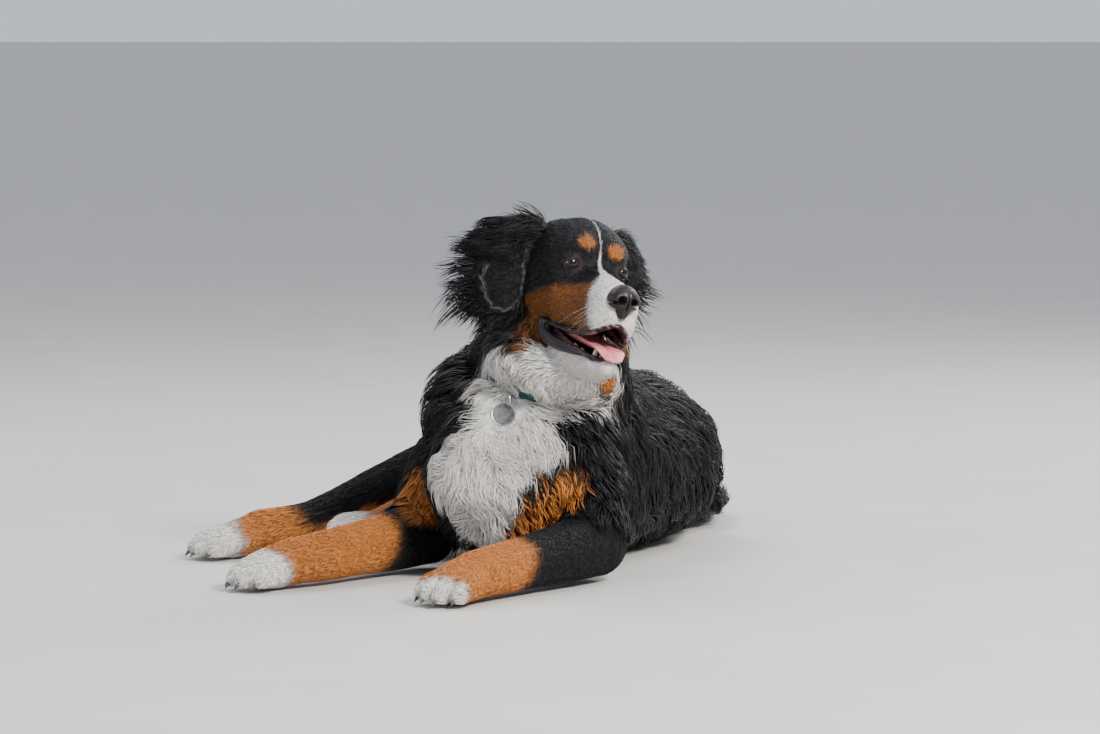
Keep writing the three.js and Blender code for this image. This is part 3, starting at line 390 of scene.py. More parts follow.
def axis(low, high, fine_low, fine_high):
    """Grid lines, close together where the head is and wider apart elsewhere."""
    parts = [
        np.arange(low, fine_low, COARSE),
        np.arange(fine_low, fine_high, FINE),
        np.arange(fine_high, high + COARSE, COARSE),
    ]
    return np.concatenate(parts)


def melt(a, b, k):
    """The lesser of two distances with a rounded join of size k."""
    h = np.clip(0.5 + 0.5 * (b - a) / k, 0, 1)
    return b + (a - b) * h - k * h * (1 - h)


def zero_surface(values, outside):
    """The four-sided faces where the distances cross zero, with points counted in cells."""
    grid = openvdb.FloatGrid(outside)
    grid.copyFromArray(values)
    return grid.convertToQuads(0.0)


class Field:
    def __init__(self, axes):
        self.axes = [np.asarray(a, np.float32) for a in axes]
        self.values = np.full([len(a) for a in self.axes], FAR, np.float32)

    def window(self, low, high):
        ends = [
            (int(np.searchsorted(a, lo)), int(np.searchsorted(a, hi)))
            for a, lo, hi in zip(self.axes, low, high)
        ]
        return tuple(slice(max(lo, 0), max(hi, 0)) for lo, hi in ends)

    def places(self, window):
        x, y, z = (a[w] for a, w in zip(self.axes, window))
        return x[:, None, None], y[None, :, None], z[None, None, :]

    def part(self, trunk, margin=0.045):
        """One trunk's own distances in a window round it."""
        lows, highs = trunk.box(margin)
        window = self.window(lows.min(axis=0), highs.max(axis=0))
        found = np.full([w.stop - w.start for w in window], FAR, np.float32)
        for i in range(trunk.count):
            sub = self.window(lows[i], highs[i])
            inner = tuple(slice(s.start - w.start, s.stop - w.start) for s, w in zip(sub, window))
            found[inner] = np.minimum(found[inner], trunk.near(i, *self.places(sub))[0])
        return window, found

    def add(self, trunk, blend):
        window, found = self.part(trunk)
        self.values[window] = melt(self.values[window], found, blend)

    def cut(self, trunk, blend=0.0015):
        window, found = self.part(trunk, 0.02)
        self.values[window] = -melt(-self.values[window], found, blend)

    def at(self, points):
        """The distance at scattered points, between the grid's own values."""
        cell, share = [], []
        for k, a in enumerate(self.axes):
            i = np.interp(points[:, k], a, np.arange(len(a)))
            whole = np.clip(i.astype(int), 0, len(a) - 2)
            cell.append(whole)
            share.append((i - whole).astype(np.float32))
        out = np.zeros(len(points), np.float32)
        for step in itertools.product((0, 1), repeat=3):
            x, y, z = (s if far else 1 - s for s, far in zip(share, step))
            out += x * y * z * self.values[tuple(c + far for c, far in zip(cell, step))]
        return out

    def slope(self, points, step=0.003):
        steps = np.eye(3) * step
        return np.stack([(self.at(points + s) - self.at(points - s)) / (2 * step) for s in steps], axis=1)

    def surface(self):
        points, quads = zero_surface(self.values, FAR)
        lines = [np.interp(points[:, k], np.arange(len(a)), a) for k, a in enumerate(self.axes)]
        return np.stack(lines, axis=1), quads


def head_distance(x, f, z):
    """Distance to the head's melted ovals, all in millimetres in the head's frame."""
    total = 0.0
    for a, b, end, pair in HEAD_FORMS:
        a, b = np.array(a, np.float32), np.array(b, np.float32)
        run = b[:3] - a[:3]
        length = float(np.linalg.norm(run))
        run = run / length
        px = (np.abs(x) if pair else x) - a[0]
        pf, pz = f - a[1], z - a[2]
        along = px * run[0] + pf * run[1] + pz * run[2]
        t = np.clip(along / length, 0, 1)
        wide, high = a[3] + (b[3] - a[3]) * t, a[4] + (b[4] - a[4]) * t
        small = np.minimum(wide, high)
        off = ((px - run[0] * along) / wide) ** 2 + ((pf - run[1] * along) / high) ** 2
        off = off + ((pz - run[2] * along) / high) ** 2
        past = (along - t * length) / (end * small)
        d = (np.sqrt(off + past * past) - 1) * small
        total = total + np.exp(-np.clip(d, -60, 200) / HEAD_BLEND)
    return -HEAD_BLEND * np.log(np.maximum(total, 1e-12))


# Where each part of the body lies, which way its hair runs and how long and deep it is.

# A stretch of the body: its ovals, the length, depth and width of its hair, and how that hair lies.
Part = namedtuple("Part", "trunk long deep wide lie")


def lie_torso(points, along, u, angle):
    side = np.abs(np.cos(angle))[:, None]
    back = np.tile([[0.0, 1.0, 0.0]], (len(points), 1)) - [[0, 0, 0.25]] - side * [[0, 0, 0.75]]
    front = np.array([[-0.2, 0.1, -1.0]]) + points * [[12.0, 0, 0]]
    share = smooth(-0.02, -0.11, points[:, 1])[:, None]
    return back * (1 - share) + front * share


def lie_neck(points, along, u, angle):
    sideways, ahead = 0.6 * (points[:, 0] / MM - 30), 0.25 * points[:, 1] / MM
    return np.stack([sideways, ahead, np.full(len(points), -80.0)], axis=1)


def lie_limb(points, along, u, angle):
    return along + [[0, 0, -0.25]]


def lie_tail(points, along, u, angle):
    across = np.cross(along, (0, 0, 1.0)) * -np.cos(angle)[:, None]
    return along - across * 0.75


def lie_head(points, along, u, angle):
    """From the nose back over the muzzle, up the brow and down the cheeks, in the head's frame."""
    h = world_to_head(points)
    x, f, z = h[:, 0], h[:, 1], h[:, 2]
    brow = smooth(2, -20, f) * smooth(-10, 25, z)
    cheek = smooth(12, 45, np.abs(x)) * smooth(20, -40, z)
    one = np.ones(len(x))
    back = np.stack([0.012 * x, -one, 0.25 * one], axis=1)
    over = np.stack([0.02 * x, -one, 0.35 - 0.01 * np.abs(x)], axis=1)
    down = np.stack([0.2 * np.sign(x), -0.8 * one, -0.75 * one], axis=1)
    local = back + (over - back) * brow[:, None]
    local = local + (down - local) * cheek[:, None]
    chin = smooth(-95, -120, z)[:, None]
    local = local + (np.stack([0 * x, -one, -0.5 * one], axis=1) - local) * chin
    return turned_with_head(local)


def lie_ear(out):
    def lie(points, along, u, angle):
        spread = smooth(60, 105, world_to_head(points)[:, 0] * out)
        way = [out * (0.35 + 1.2 * spread), -0.5 - 0.2 * spread, -0.75 + 0.45 * spread]
        return turned_with_head(np.stack(way, axis=1))

    return lie


PARTS = {}
PAWS = {}
# The way the tag's face looks.
TAG_FACING = unit(np.array([0.38, -0.86, 0.34]))


def lay_out_parts():
    """Names every part of the body with the ovals of its skin, inside the coat's tips."""
    PARTS["torso"] = Part(Trunk(TORSO_ROWS, inset=18), 74, 20, 2.8, lie_torso)
    PARTS["neck"] = Part(Trunk(NECK_ROWS, up=(0, -1, 0), inset=32), 70, 34, 3.0, lie_neck)
    PARTS["tail"] = Part(Trunk(TAIL_ROWS, inset=16), 74, 18, 3.0, lie_tail)
    for side, out in SIDES:
        upper, lower = foreleg(side, out)
        thigh, shank = hindleg(side)
        PARTS[f"upper_arm_{side}"] = Part(upper, 44, 15, 2.6, lie_limb)
        PARTS[f"forearm_{side}"] = Part(lower, 15, 2.6, 1.2, lie_limb)
        PARTS[f"thigh_{side}"] = Part(thigh, 56, 15, 3.0, lie_limb)
        PARTS[f"shank_{side}"] = Part(shank, 20, 4.0, 1.5, lie_limb)
        rows, up = mirrored(EAR_ROWS, out), (0.49 * out, -0.87, 0.12)
        ear = Trunk(rows, up=up, inset=1, curl=0.14, per=3, on_head=True)
        PARTS[f"ear_{side}"] = Part(ear, 62, 12, 3.4, lie_ear(out))
        _, wrist, tip = FORELEG[side]
        PAWS[f"fore_{side}"] = paw(wrist, tip)
        _, _, hock, toe = HINDLEG[side]
        PAWS[f"hind_{side}"] = paw(between(hock, toe, 0.2), toe, 32, 28, 13, HIND_ROLL[side])
    for key, (palm, _, _) in PAWS.items():
        PARTS[f"paw_{key}"] = Part(palm, 10, 2.2, 1.4, lie_limb)


def in_mouth(h):
    """Whether places in the head's frame lie between the lips, inside the cheeks."""
    top = np.interp(h[:, 1], [-44, -16, 10, 38, 80], [-76, -82, -86, -90, -84])
    low = np.interp(h[:, 1], [-44, -28, -4, 30, 74], [-80, -98, -109, -114, -120])
    return (np.abs(h[:, 0]) < 46) & (h[:, 2] < top) & (h[:, 2] > low) & (h[:, 1] > -48) & (h[:, 1] < 84)


def over_mouth(tufts):
    """Which tufts reach into the gap between the lips or across it."""
    found = np.zeros(tufts.count, bool)
    for row in tufts.spine[1:]:
        h = world_to_head(row)
        found |= in_mouth(h * [0.66, 1, 1]) & (h[:, 1] > -20)
    return found


def ball(centre, radius):
    """A round trunk, so short that it is a ball, at a place in the world."""
    rows = [[*(np.asarray(centre) / MM + [0, 0, k]), radius, radius] for k in (-0.05, 0.05)]
    return Trunk(rows, up=(0, 1, 0), per=1)


def box_middle(node):
    low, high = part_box(node)
    return (np.array(low) + np.array(high)) / 2


def body_field():
    """The distance outside the dog's skin, on a grid that is finest round the head."""
    lines = ((-0.50, 0.33, 0.005, 0.245), (-0.44, 0.83, -0.225, 0.06), (-0.014, 0.52, 0.255, 0.49))
    field = Field([axis(*line) for line in lines])
    for name in ("torso", "neck"):
        field.add(PARTS[name].trunk, 0.012)
    limbs = [f"{name}_{side}" for side, _ in SIDES for name in ("upper_arm", "forearm", "thigh", "shank")]
    for name in ["tail"] + limbs:
        field.add(PARTS[name].trunk, 0.009)
    for rows in (THROAT_ROWS, MANE_ROWS):
        field.add(Trunk(rows), 0.012)
    for palm, toes, _ in PAWS.values():
        field.add(palm, 0.006)
        for toe in toes:
            field.add(toe, 0.0028)
    # Hollows for the tag and its ring.
    for node, radius, back in (("tag", 30, 6), ("collar_ring", 20, 11)):
        field.cut(ball(box_middle(node) + TAG_FACING * (radius - back) * MM, radius), 0.006)
    window = field.window((-0.03, -0.27, 0.2), (0.3, 0.12, 0.52))
    x, y, z = field.places(window)
    full = np.broadcast_shapes(x.shape, y.shape, z.shape)
    flat = np.stack([np.broadcast_to(v, full).ravel() for v in (x, y, z)], axis=1)
    d = (head_distance(*world_to_head(flat).astype(np.float32).T) + 2.0) * MM
    field.values[window] = melt(field.values[window], d.reshape(full).astype(np.float32), 0.008)
    # The flews, then the mouth between them, the lower jaw with its trough, and the lips.
    for _, out in SIDES:
        z = -62 if out < 0 else -69
        flew = mirrored([[25, 46, z - 11, 9, 16], [20, 72, z - 7, 9.5, 15], [10, 82, z, 10, 13]], out)
        field.add(Trunk(flew, on_head=True), 0.006)
    field.cut(Trunk(MOUTH_ROWS, inset=-1, on_head=True), 0.003)
    field.add(Trunk(JAW_ROWS, inset=2, on_head=True), 0.004)
    field.cut(Trunk(TROUGH_ROWS, on_head=True), 0.002)
    for rows in LIPS:
        field.add(Trunk(rows, on_head=True, per=3), 0.0022)
    # Room for the nose pad, and the sockets of the eyes.
    field.cut(Trunk([[0, 82, -38, 15, 11], [0, 96, -42, 13, 12]], on_head=True), 0.002)
    for side, out in SIDES:
        centre, ahead, outer, _ = eye_frame(out)
        field.add(ball(centre, 12.6), 0.005)
        slit = [centre / MM + ahead * 13 + outer * k for k in (-6.2, 6.2)]
        field.cut(Trunk([[*p, 4.4, 4.4] for p in slit], per=1), 0.001)
        field.cut(ball(centre, 11.4), 0.001)
        field.add(PARTS[f"ear_{side}"].trunk, 0.004)
    return field


# The dog's markings, from plain shapes on its body.


def oval(points, centre, size, soft=0.3):
    r = np.linalg.norm((points - np.asarray(centre)) / np.asarray(size), axis=1)
    return smooth(1 + soft, 1 - soft, r)


def wobble(points, size, seed):
    """A soft ripple for ragged edges between two colours, about -1 to 1."""
    rng = np.random.default_rng(seed)
    total = np.zeros(len(points))
    for octave in range(4):
        k = rng.normal(size=3)
        k *= 2 * math.pi * (1 + 0.8 * octave) / (size * np.linalg.norm(k))
        total += np.sin(points @ k + rng.uniform(0, 6.3)) / (1 + 0.5 * octave)
    return total / 2.2


def share_of_head(points):
    h = world_to_head(points)
    near = smooth(34, 12, head_distance(*h.T)) * smooth(-140, -122, h[:, 2])
    jaw = Trunk(JAW_ROWS, on_head=True).nearest(points)[0]
    return np.maximum(near, smooth(0.012, 0.006, jaw))


# The edge of each ear's leather as seen from ahead: (outward, up) in the head's frame.
EAR_EDGE = np.array(
    [
        [69, 22], [70, -8], [67, -30], [64, -50], [68, -64], [80, -74], [92, -74], [100, -66], [108, -52],
        [112, -38], [110, -26],
    ],
    float,
)


def along_line(places, a, b):
    """How far along a line each place is, as a share of it, and how far off the line it is."""
    run = np.clip((places - a) @ (b - a) / ((b - a) @ (b - a)), 0, 1)
    return run, np.linalg.norm(places - a - run[:, None] * (b - a), axis=1)


def ear_across(h, out):
    """How far across the ear's leather a place in the head's frame is: -1 by the face, 1 outermost."""
    middle = np.interp(h[:, 2], [-74, -44, -10, 22, 38], [82, 90, 88, 70, 50])
    half = np.interp(h[:, 2], [-84, -74, -44, -10, 22, 38], [10, 20, 36, 41, 34, 24])
    return (h[:, 0] * out - middle) / half


def ear_rim(h, out):
    """How far the leather's edge is from a place on the ear's outer face, and which way that edge runs."""
    spot = np.stack([h[:, 0] * out, h[:, 2]], axis=1)
    gap, way = np.full(len(h), 1e9), np.zeros((len(h), 3))
    for a, b in zip(EAR_EDGE[:-1], EAR_EDGE[1:]):
        _, off = along_line(spot, a, b)
        way[off < gap] = unit(head_direction((b - a)[0] * out, 0, (b - a)[1]))
        gap = np.minimum(gap, off)
    outer_face = h[:, 1] > -88 - 0.6 * (h[:, 0] * out - 70)
    return np.where(outer_face, gap, 99.0), way


def body_marks(p):
    """How white and how rust the trunk and the limbs are, at places in millimetres."""
    x, y, z = p.T
    # The bib: broad over the breast, narrowing to a point between the forelegs.
    rise = [56, 78, 100, 130, 160, 182, 204, 218, 230, 242, 256, 274, 300]
    middle = np.interp(z, rise, [0, 4, 4, -2, 2, 16, 24, 18, 30, 52, 60, 60, 56])
    half = np.interp(z, rise, [0, 16, 30, 46, 60, 62, 42, 40, 50, 76, 88, 88, 82])
    beside = np.abs(x - middle) - half
    front = smooth(14, -18, y - 0.1 * np.abs(x - middle))
    brink = np.interp(x, [10, 45, 70], [302, 300, 312])
    below_head = smooth(brink + 4, brink - 6, z)
    white = smooth(6, -6, beside) * front * below_head
    # The cheek's rust runs down to the white of the throat.
    rust = (1 - below_head) * smooth(26, 40, x) * smooth(-18, -34, y)
    # Rust patches where the breast meets the forelegs.
    _, gap = along_line(p, np.array([44.0, -138.0, 94.0]), np.array([98.0, -96.0, 136.0]))
    patch = np.maximum(oval(p, (-112, -82, 108), (33, 60, 40), 0.2), smooth(33, 25, gap))
    rust = np.maximum(rust, patch * smooth(-12, 2, beside))
    # The limbs: black above, then rust, with white paws.
    for side, _ in SIDES:
        elbow, _, tip = FORELEG[side]
        ahead, length = unit(tip - elbow), np.linalg.norm(tip - elbow)
        run = (p - elbow) @ ahead / length
        off = np.linalg.norm((p - elbow) - np.outer(run * length, ahead), axis=1)
        mine = smooth(95, 75, off) * smooth(-0.02, 0.06, run)
        start, toe_line = (0.24, 0.80) if side == "right" else (0.46, 0.90)
        rust = np.maximum(rust, mine * smooth(start - 0.05, start + 0.05, run + 0.0012 * (z - 50)))
        white = np.maximum(white, mine * smooth(toe_line - 0.03, toe_line + 0.03, run - 0.0007 * (z - 40)))
        _, knee, hock, toe = HINDLEG[side]
        for a, b, low, high, white_from in ((knee, hock, 0.2, 0.42, 9), (hock, toe, -0.5, -0.2, 0.60)):
            length = np.linalg.norm(b - a)
            line = (b - a) / length
            run = (p - a) @ line / length
            off = np.linalg.norm((p - a) - np.outer(np.clip(run, 0, 1) * length, line), axis=1)
            mine = smooth(66, 52, off) * smooth(-0.12, -0.02, run) * smooth(1.3, 1.2, run)
            ends = smooth(1.15, 1.0, run) if b is hock else smooth(0.2, 0.05, run)
            crest = smooth(2, 12, z - (a[2] + (b[2] - a[2]) * run)) * ends
            rust = np.maximum(rust, mine * smooth(low, high, run) * (1 - crest))
            white = np.maximum(white, mine * smooth(white_from - 0.08, white_from + 0.08, run))
    # The tail's white tip.
    return np.maximum(white, smooth(712, 742, y + 0.2 * wobble(p, 30, 9)) * smooth(-20, -60, x)), rust


def head_marks(h, p):
    """The same for the head, at places in its own frame and in the body's."""
    hx, f, hz = h.T
    side = np.abs(hx)
    rag = 2.2 * wobble(h, 17, 6)
    # A narrow blaze that widens over the muzzle and round the nose.
    blaze = np.interp(f, [-90, -50, -20, 0, 12, 30, 44, 60, 80], [0.3, 0.5, 0.6, 1.1, 2.3, 7.5, 14.5, 24, 34])
    bend = np.interp(f, [-80, -40, 0], [-5, -2, 0])
    upper = smooth(-66, -50, hz + 0.2 * f)
    white = smooth(1.1, -1.1, np.abs(hx - bend) - blaze - rag * smooth(-30, 40, f) * 0.6) * upper
    white = np.maximum(white, smooth(49, 63, f + 0.35 * (hz + 40) + rag) * smooth(-100, -88, hz))
    chin = smooth(-104, -114, hz + rag) * smooth(-42, -26, f)
    throat = smooth(308, 298, p[:, 2]) * smooth(-20, -40, f) * smooth(-34, -22, p[:, 0])
    white = np.maximum(white, np.maximum(chin, throat))
    # Rust over the eyes, along the muzzle and on the cheeks.
    low = 6 * smooth(-4, 4, hx)
    brow = oval(np.stack([side, f, hz + low], axis=1) + rag[:, None] * 0.5, (21, 2, 28), (11.5, 17, 9), 0.22)
    edge = np.interp(f, [-90, -60, -20, 20, 50], [-52, -44, -34, -27, -24])
    cheek = smooth(edge + 6, edge - 5, hz + rag) * smooth(-88, -74, f + rag) * smooth(12, 17, side)
    floor = np.where(hx < 0, np.interp(f, [-44, -24], [-190, -98]), -76)
    cheek = cheek * smooth(floor - 4, floor + 4, hz + rag)
    return white, np.maximum(brow, cheek) * (1 - white)


def markings(points):
    """How white and how rust the hair is at each place, from 0 to 1."""
    p = points / MM + 4 * np.stack([wobble(points / MM, 46, s) for s in (3, 4, 5)], axis=1)
    h, on_head = world_to_head(points), share_of_head(points)
    both = zip(body_marks(p), head_marks(h, p))
    white, rust = (body * (1 - on_head) + head * on_head for body, head in both)
    # The outer side of the throat carries a rust streak on its left.
    streak = oval(p, (147, -34, 250), (24, 44, 29), 0.3)
    white, rust = white * (1 - streak), np.maximum(rust, streak)
    rear = smooth(-86, -96, h[:, 1]) * smooth(296, 306, p[:, 2]) * on_head
    white, rust = white * (1 - rear), rust * (1 - rear)
    # The ears are black, with a thin pale rim along the leather's edge that is a painted highlight.
    for side, out in SIDES:
        on_ear = smooth(0.012, 0.004, PARTS[f"ear_{side}"].trunk.nearest(points)[0])
        white, rust = white * (1 - on_ear), rust * (1 - on_ear)
        # Painted highlight: the hair along the edge of each ear's leather is lightened.
        white = np.maximum(white, on_ear * 0.13 * smooth(2.4, 1.2, ear_rim(h, out)[0]))
    return np.clip(white, 0, 1), np.clip(rust * (1 - white), 0, 1)


def coat_colour(points, look, seed, vary=0.0):
    """The coat's colour at each place, with small differences from lock to lock; the head's rust is a darker
    tone of its own, with painted shade low on the head and under it.
    """
    rng = np.random.default_rng(seed)
    white, rust = markings(points)
    black = np.tile(np.array(look.black_hair[:3]), (len(points), 1))
    light = rng.uniform(-1, 1, (len(points), 1)) * vary
    # The rust of the head is a darker tone of its own; the extra darkening low on the head and just under it
    # is painted shade.
    under_head = smooth(0.280, 0.300, points[:, 2]) * smooth(0, -0.03, points[:, 1])
    face = np.maximum(share_of_head(points), under_head)[:, None]
    low = smooth(14, -6, world_to_head(points)[:, 2])[:, None]
    tan = np.array(look.rust_hair[:3]) * (1 - (0.26 + 0.34 * low) * face)
    out = black * (1 + 0.8 * light)
    out = out + (tan * (1 + 0.35 * light) - out) * rust[:, None]
    out = out + (np.array(look.white_hair[:3]) * (1 + 0.12 * light) - out) * white[:, None]
    return np.clip(out, 0, 1)


# Meshes.


def new_piece(name, points, faces, slot, material):
    """A new object from arrays of points and of faces that all have the same number of corners."""
    faces = np.asarray(faces, np.int32)
    mesh = bpy.data.meshes.new(name)
    mesh.vertices.add(len(points))
    mesh.vertices.foreach_set("co", np.asarray(points, np.float32).ravel())
    mesh.loops.add(faces.size)
    mesh.loops.foreach_set("vertex_index", faces.ravel())
    mesh.polygons.add(len(faces))
    mesh.polygons.foreach_set("loop_start", np.arange(0, faces.size, faces.shape[1], dtype=np.int32))
    mesh.polygons.foreach_set("use_smooth", np.ones(len(faces), bool))
    mesh.update(calc_edges=True)
    mesh.materials.append(material)
    piece = bpy.data.objects.new(name, mesh)
    bpy.context.scene.collection.objects.link(piece)
    ride(piece, slot)
    return piece


def ride(piece, slot, *nodes):
    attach(piece, "root")
    if nodes:
        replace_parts(piece, *nodes)


def colour_points(mesh, colours):
    layer = mesh.attributes.new("coat_colour", "FLOAT_COLOR", "POINT")
    rgba = np.ones((len(colours), 4), np.float32)
    rgba[:, :3] = colours
    layer.data.foreach_set("color", rgba.ravel())


def uv_of_loops(mesh, name, uv):
    mesh.uv_layers.new(name=name).data.foreach_set("uv", np.asarray(uv, np.float32).ravel())


def read_array(elements, key, per, kind=np.float32):
    """One value or vector of each vertex, loop or triangle, as rows."""
    out = np.zeros(len(elements) * per, kind)
    elements.foreach_get(key, out)
    return out.reshape(-1, per)


def corner_places(mesh):
    """Where each corner of each face is."""
    corners = read_array(mesh.loops, "vertex_index", 1, np.int32)[:, 0]
    return read_array(mesh.vertices, "co", 3).astype(float)[corners]


# The coat's tufts.

SKIN = {}


def read_skin(piece):
    """Keeps the skin's triangles, their normals and the unwrap, for the tufts' roots."""
    mesh = piece.data
    mesh.calc_loop_triangles()
    verts, loops = (read_array(mesh.loop_triangles, key, 3, np.int32) for key in ("vertices", "loops"))
    tri = read_array(mesh.vertices, "co", 3)[verts]
    uv = read_array(mesh.uv_layers["OFBake"].data, "uv", 2)[loops]
    cross = np.cross(tri[:, 1] - tri[:, 0], tri[:, 2] - tri[:, 0])
    area = np.linalg.norm(cross, axis=1) / 2
    SKIN.update(tri=tri, area=area, normal=unit(cross), uv=uv, centre=tri.mean(axis=1))


def sort_skin():
    """Which part of the body each of the skin's triangles belongs to, and the lie of its hair."""
    centre = SKIN["centre"]
    names = list(PARTS)
    near = np.full((len(names), len(centre)), 9.0)
    flow = np.zeros((len(centre), 3))
    for k, name in enumerate(names):
        part = PARTS[name]
        lows, highs = part.trunk.box(0.05)
        m = np.all((centre > lows.min(axis=0)) & (centre < highs.max(axis=0)), axis=1)
        d, u, angle, along = part.trunk.nearest(centre[m])
        near[k, m] = d
        weight = np.exp(-np.maximum(d, -0.02) / 0.007)
        flow[m] += unit(part.lie(centre[m], along, u, angle)) * weight[:, None]
    h = world_to_head(centre)
    head = head_distance(*h.T) * MM + 0.002
    head = np.minimum(head, Trunk(JAW_ROWS, inset=2, on_head=True).nearest(centre)[0])
    weight = np.exp(-np.maximum(head, -0.02) / 0.007)
    flow += unit(lie_head(centre, None, None, None)) * weight[:, None]
    lips = np.full(len(centre), 1.0)
    face = head < 0.03
    for rows in LIPS:
        lips[face] = np.minimum(lips[face], Trunk(rows, on_head=True, per=3).nearest(centre[face])[0])
    belongs = np.vstack([near, head]).argmin(axis=0)
    # The throat's roll carries the ruff's hair behind the jaw.
    roll = Trunk(THROAT_ROWS).nearest(centre)[0]
    behind = (h[:, 1] < -32) & (h[:, 0] < 36) & (h[:, 2] < -96)
    belongs[(roll < 0.004) & (belongs == len(names)) & behind] = names.index("neck")
    flow, normal = unit(flow), SKIN["normal"]
    flow = unit(flow - normal * (flow * normal).sum(axis=1, keepdims=True))
    SKIN.update(flow=flow, head=h, lips=lips, part=belongs, names=names + ["head"])


# How many long and short tufts one piece holds: 21 and 9 triangles each.
LONG_BATCH, SHORT_BATCH = 9000, 20000
# The side of a tuft's patch in the skin's unwrap.
BAKE_PATCH = 0.003
# How deep a tuft starts under the skin, and how far its spine and its faces stay above the floor, in metres.
ROOT_DEPTH, SPINE_CLEAR, LOCK_CLEAR, FACE_CLEAR = 0.0008, 0.0022, 0.0015, 0.0006
# How high a blade's ridge stands, as a share of half its width.
RIDGE = 0.7


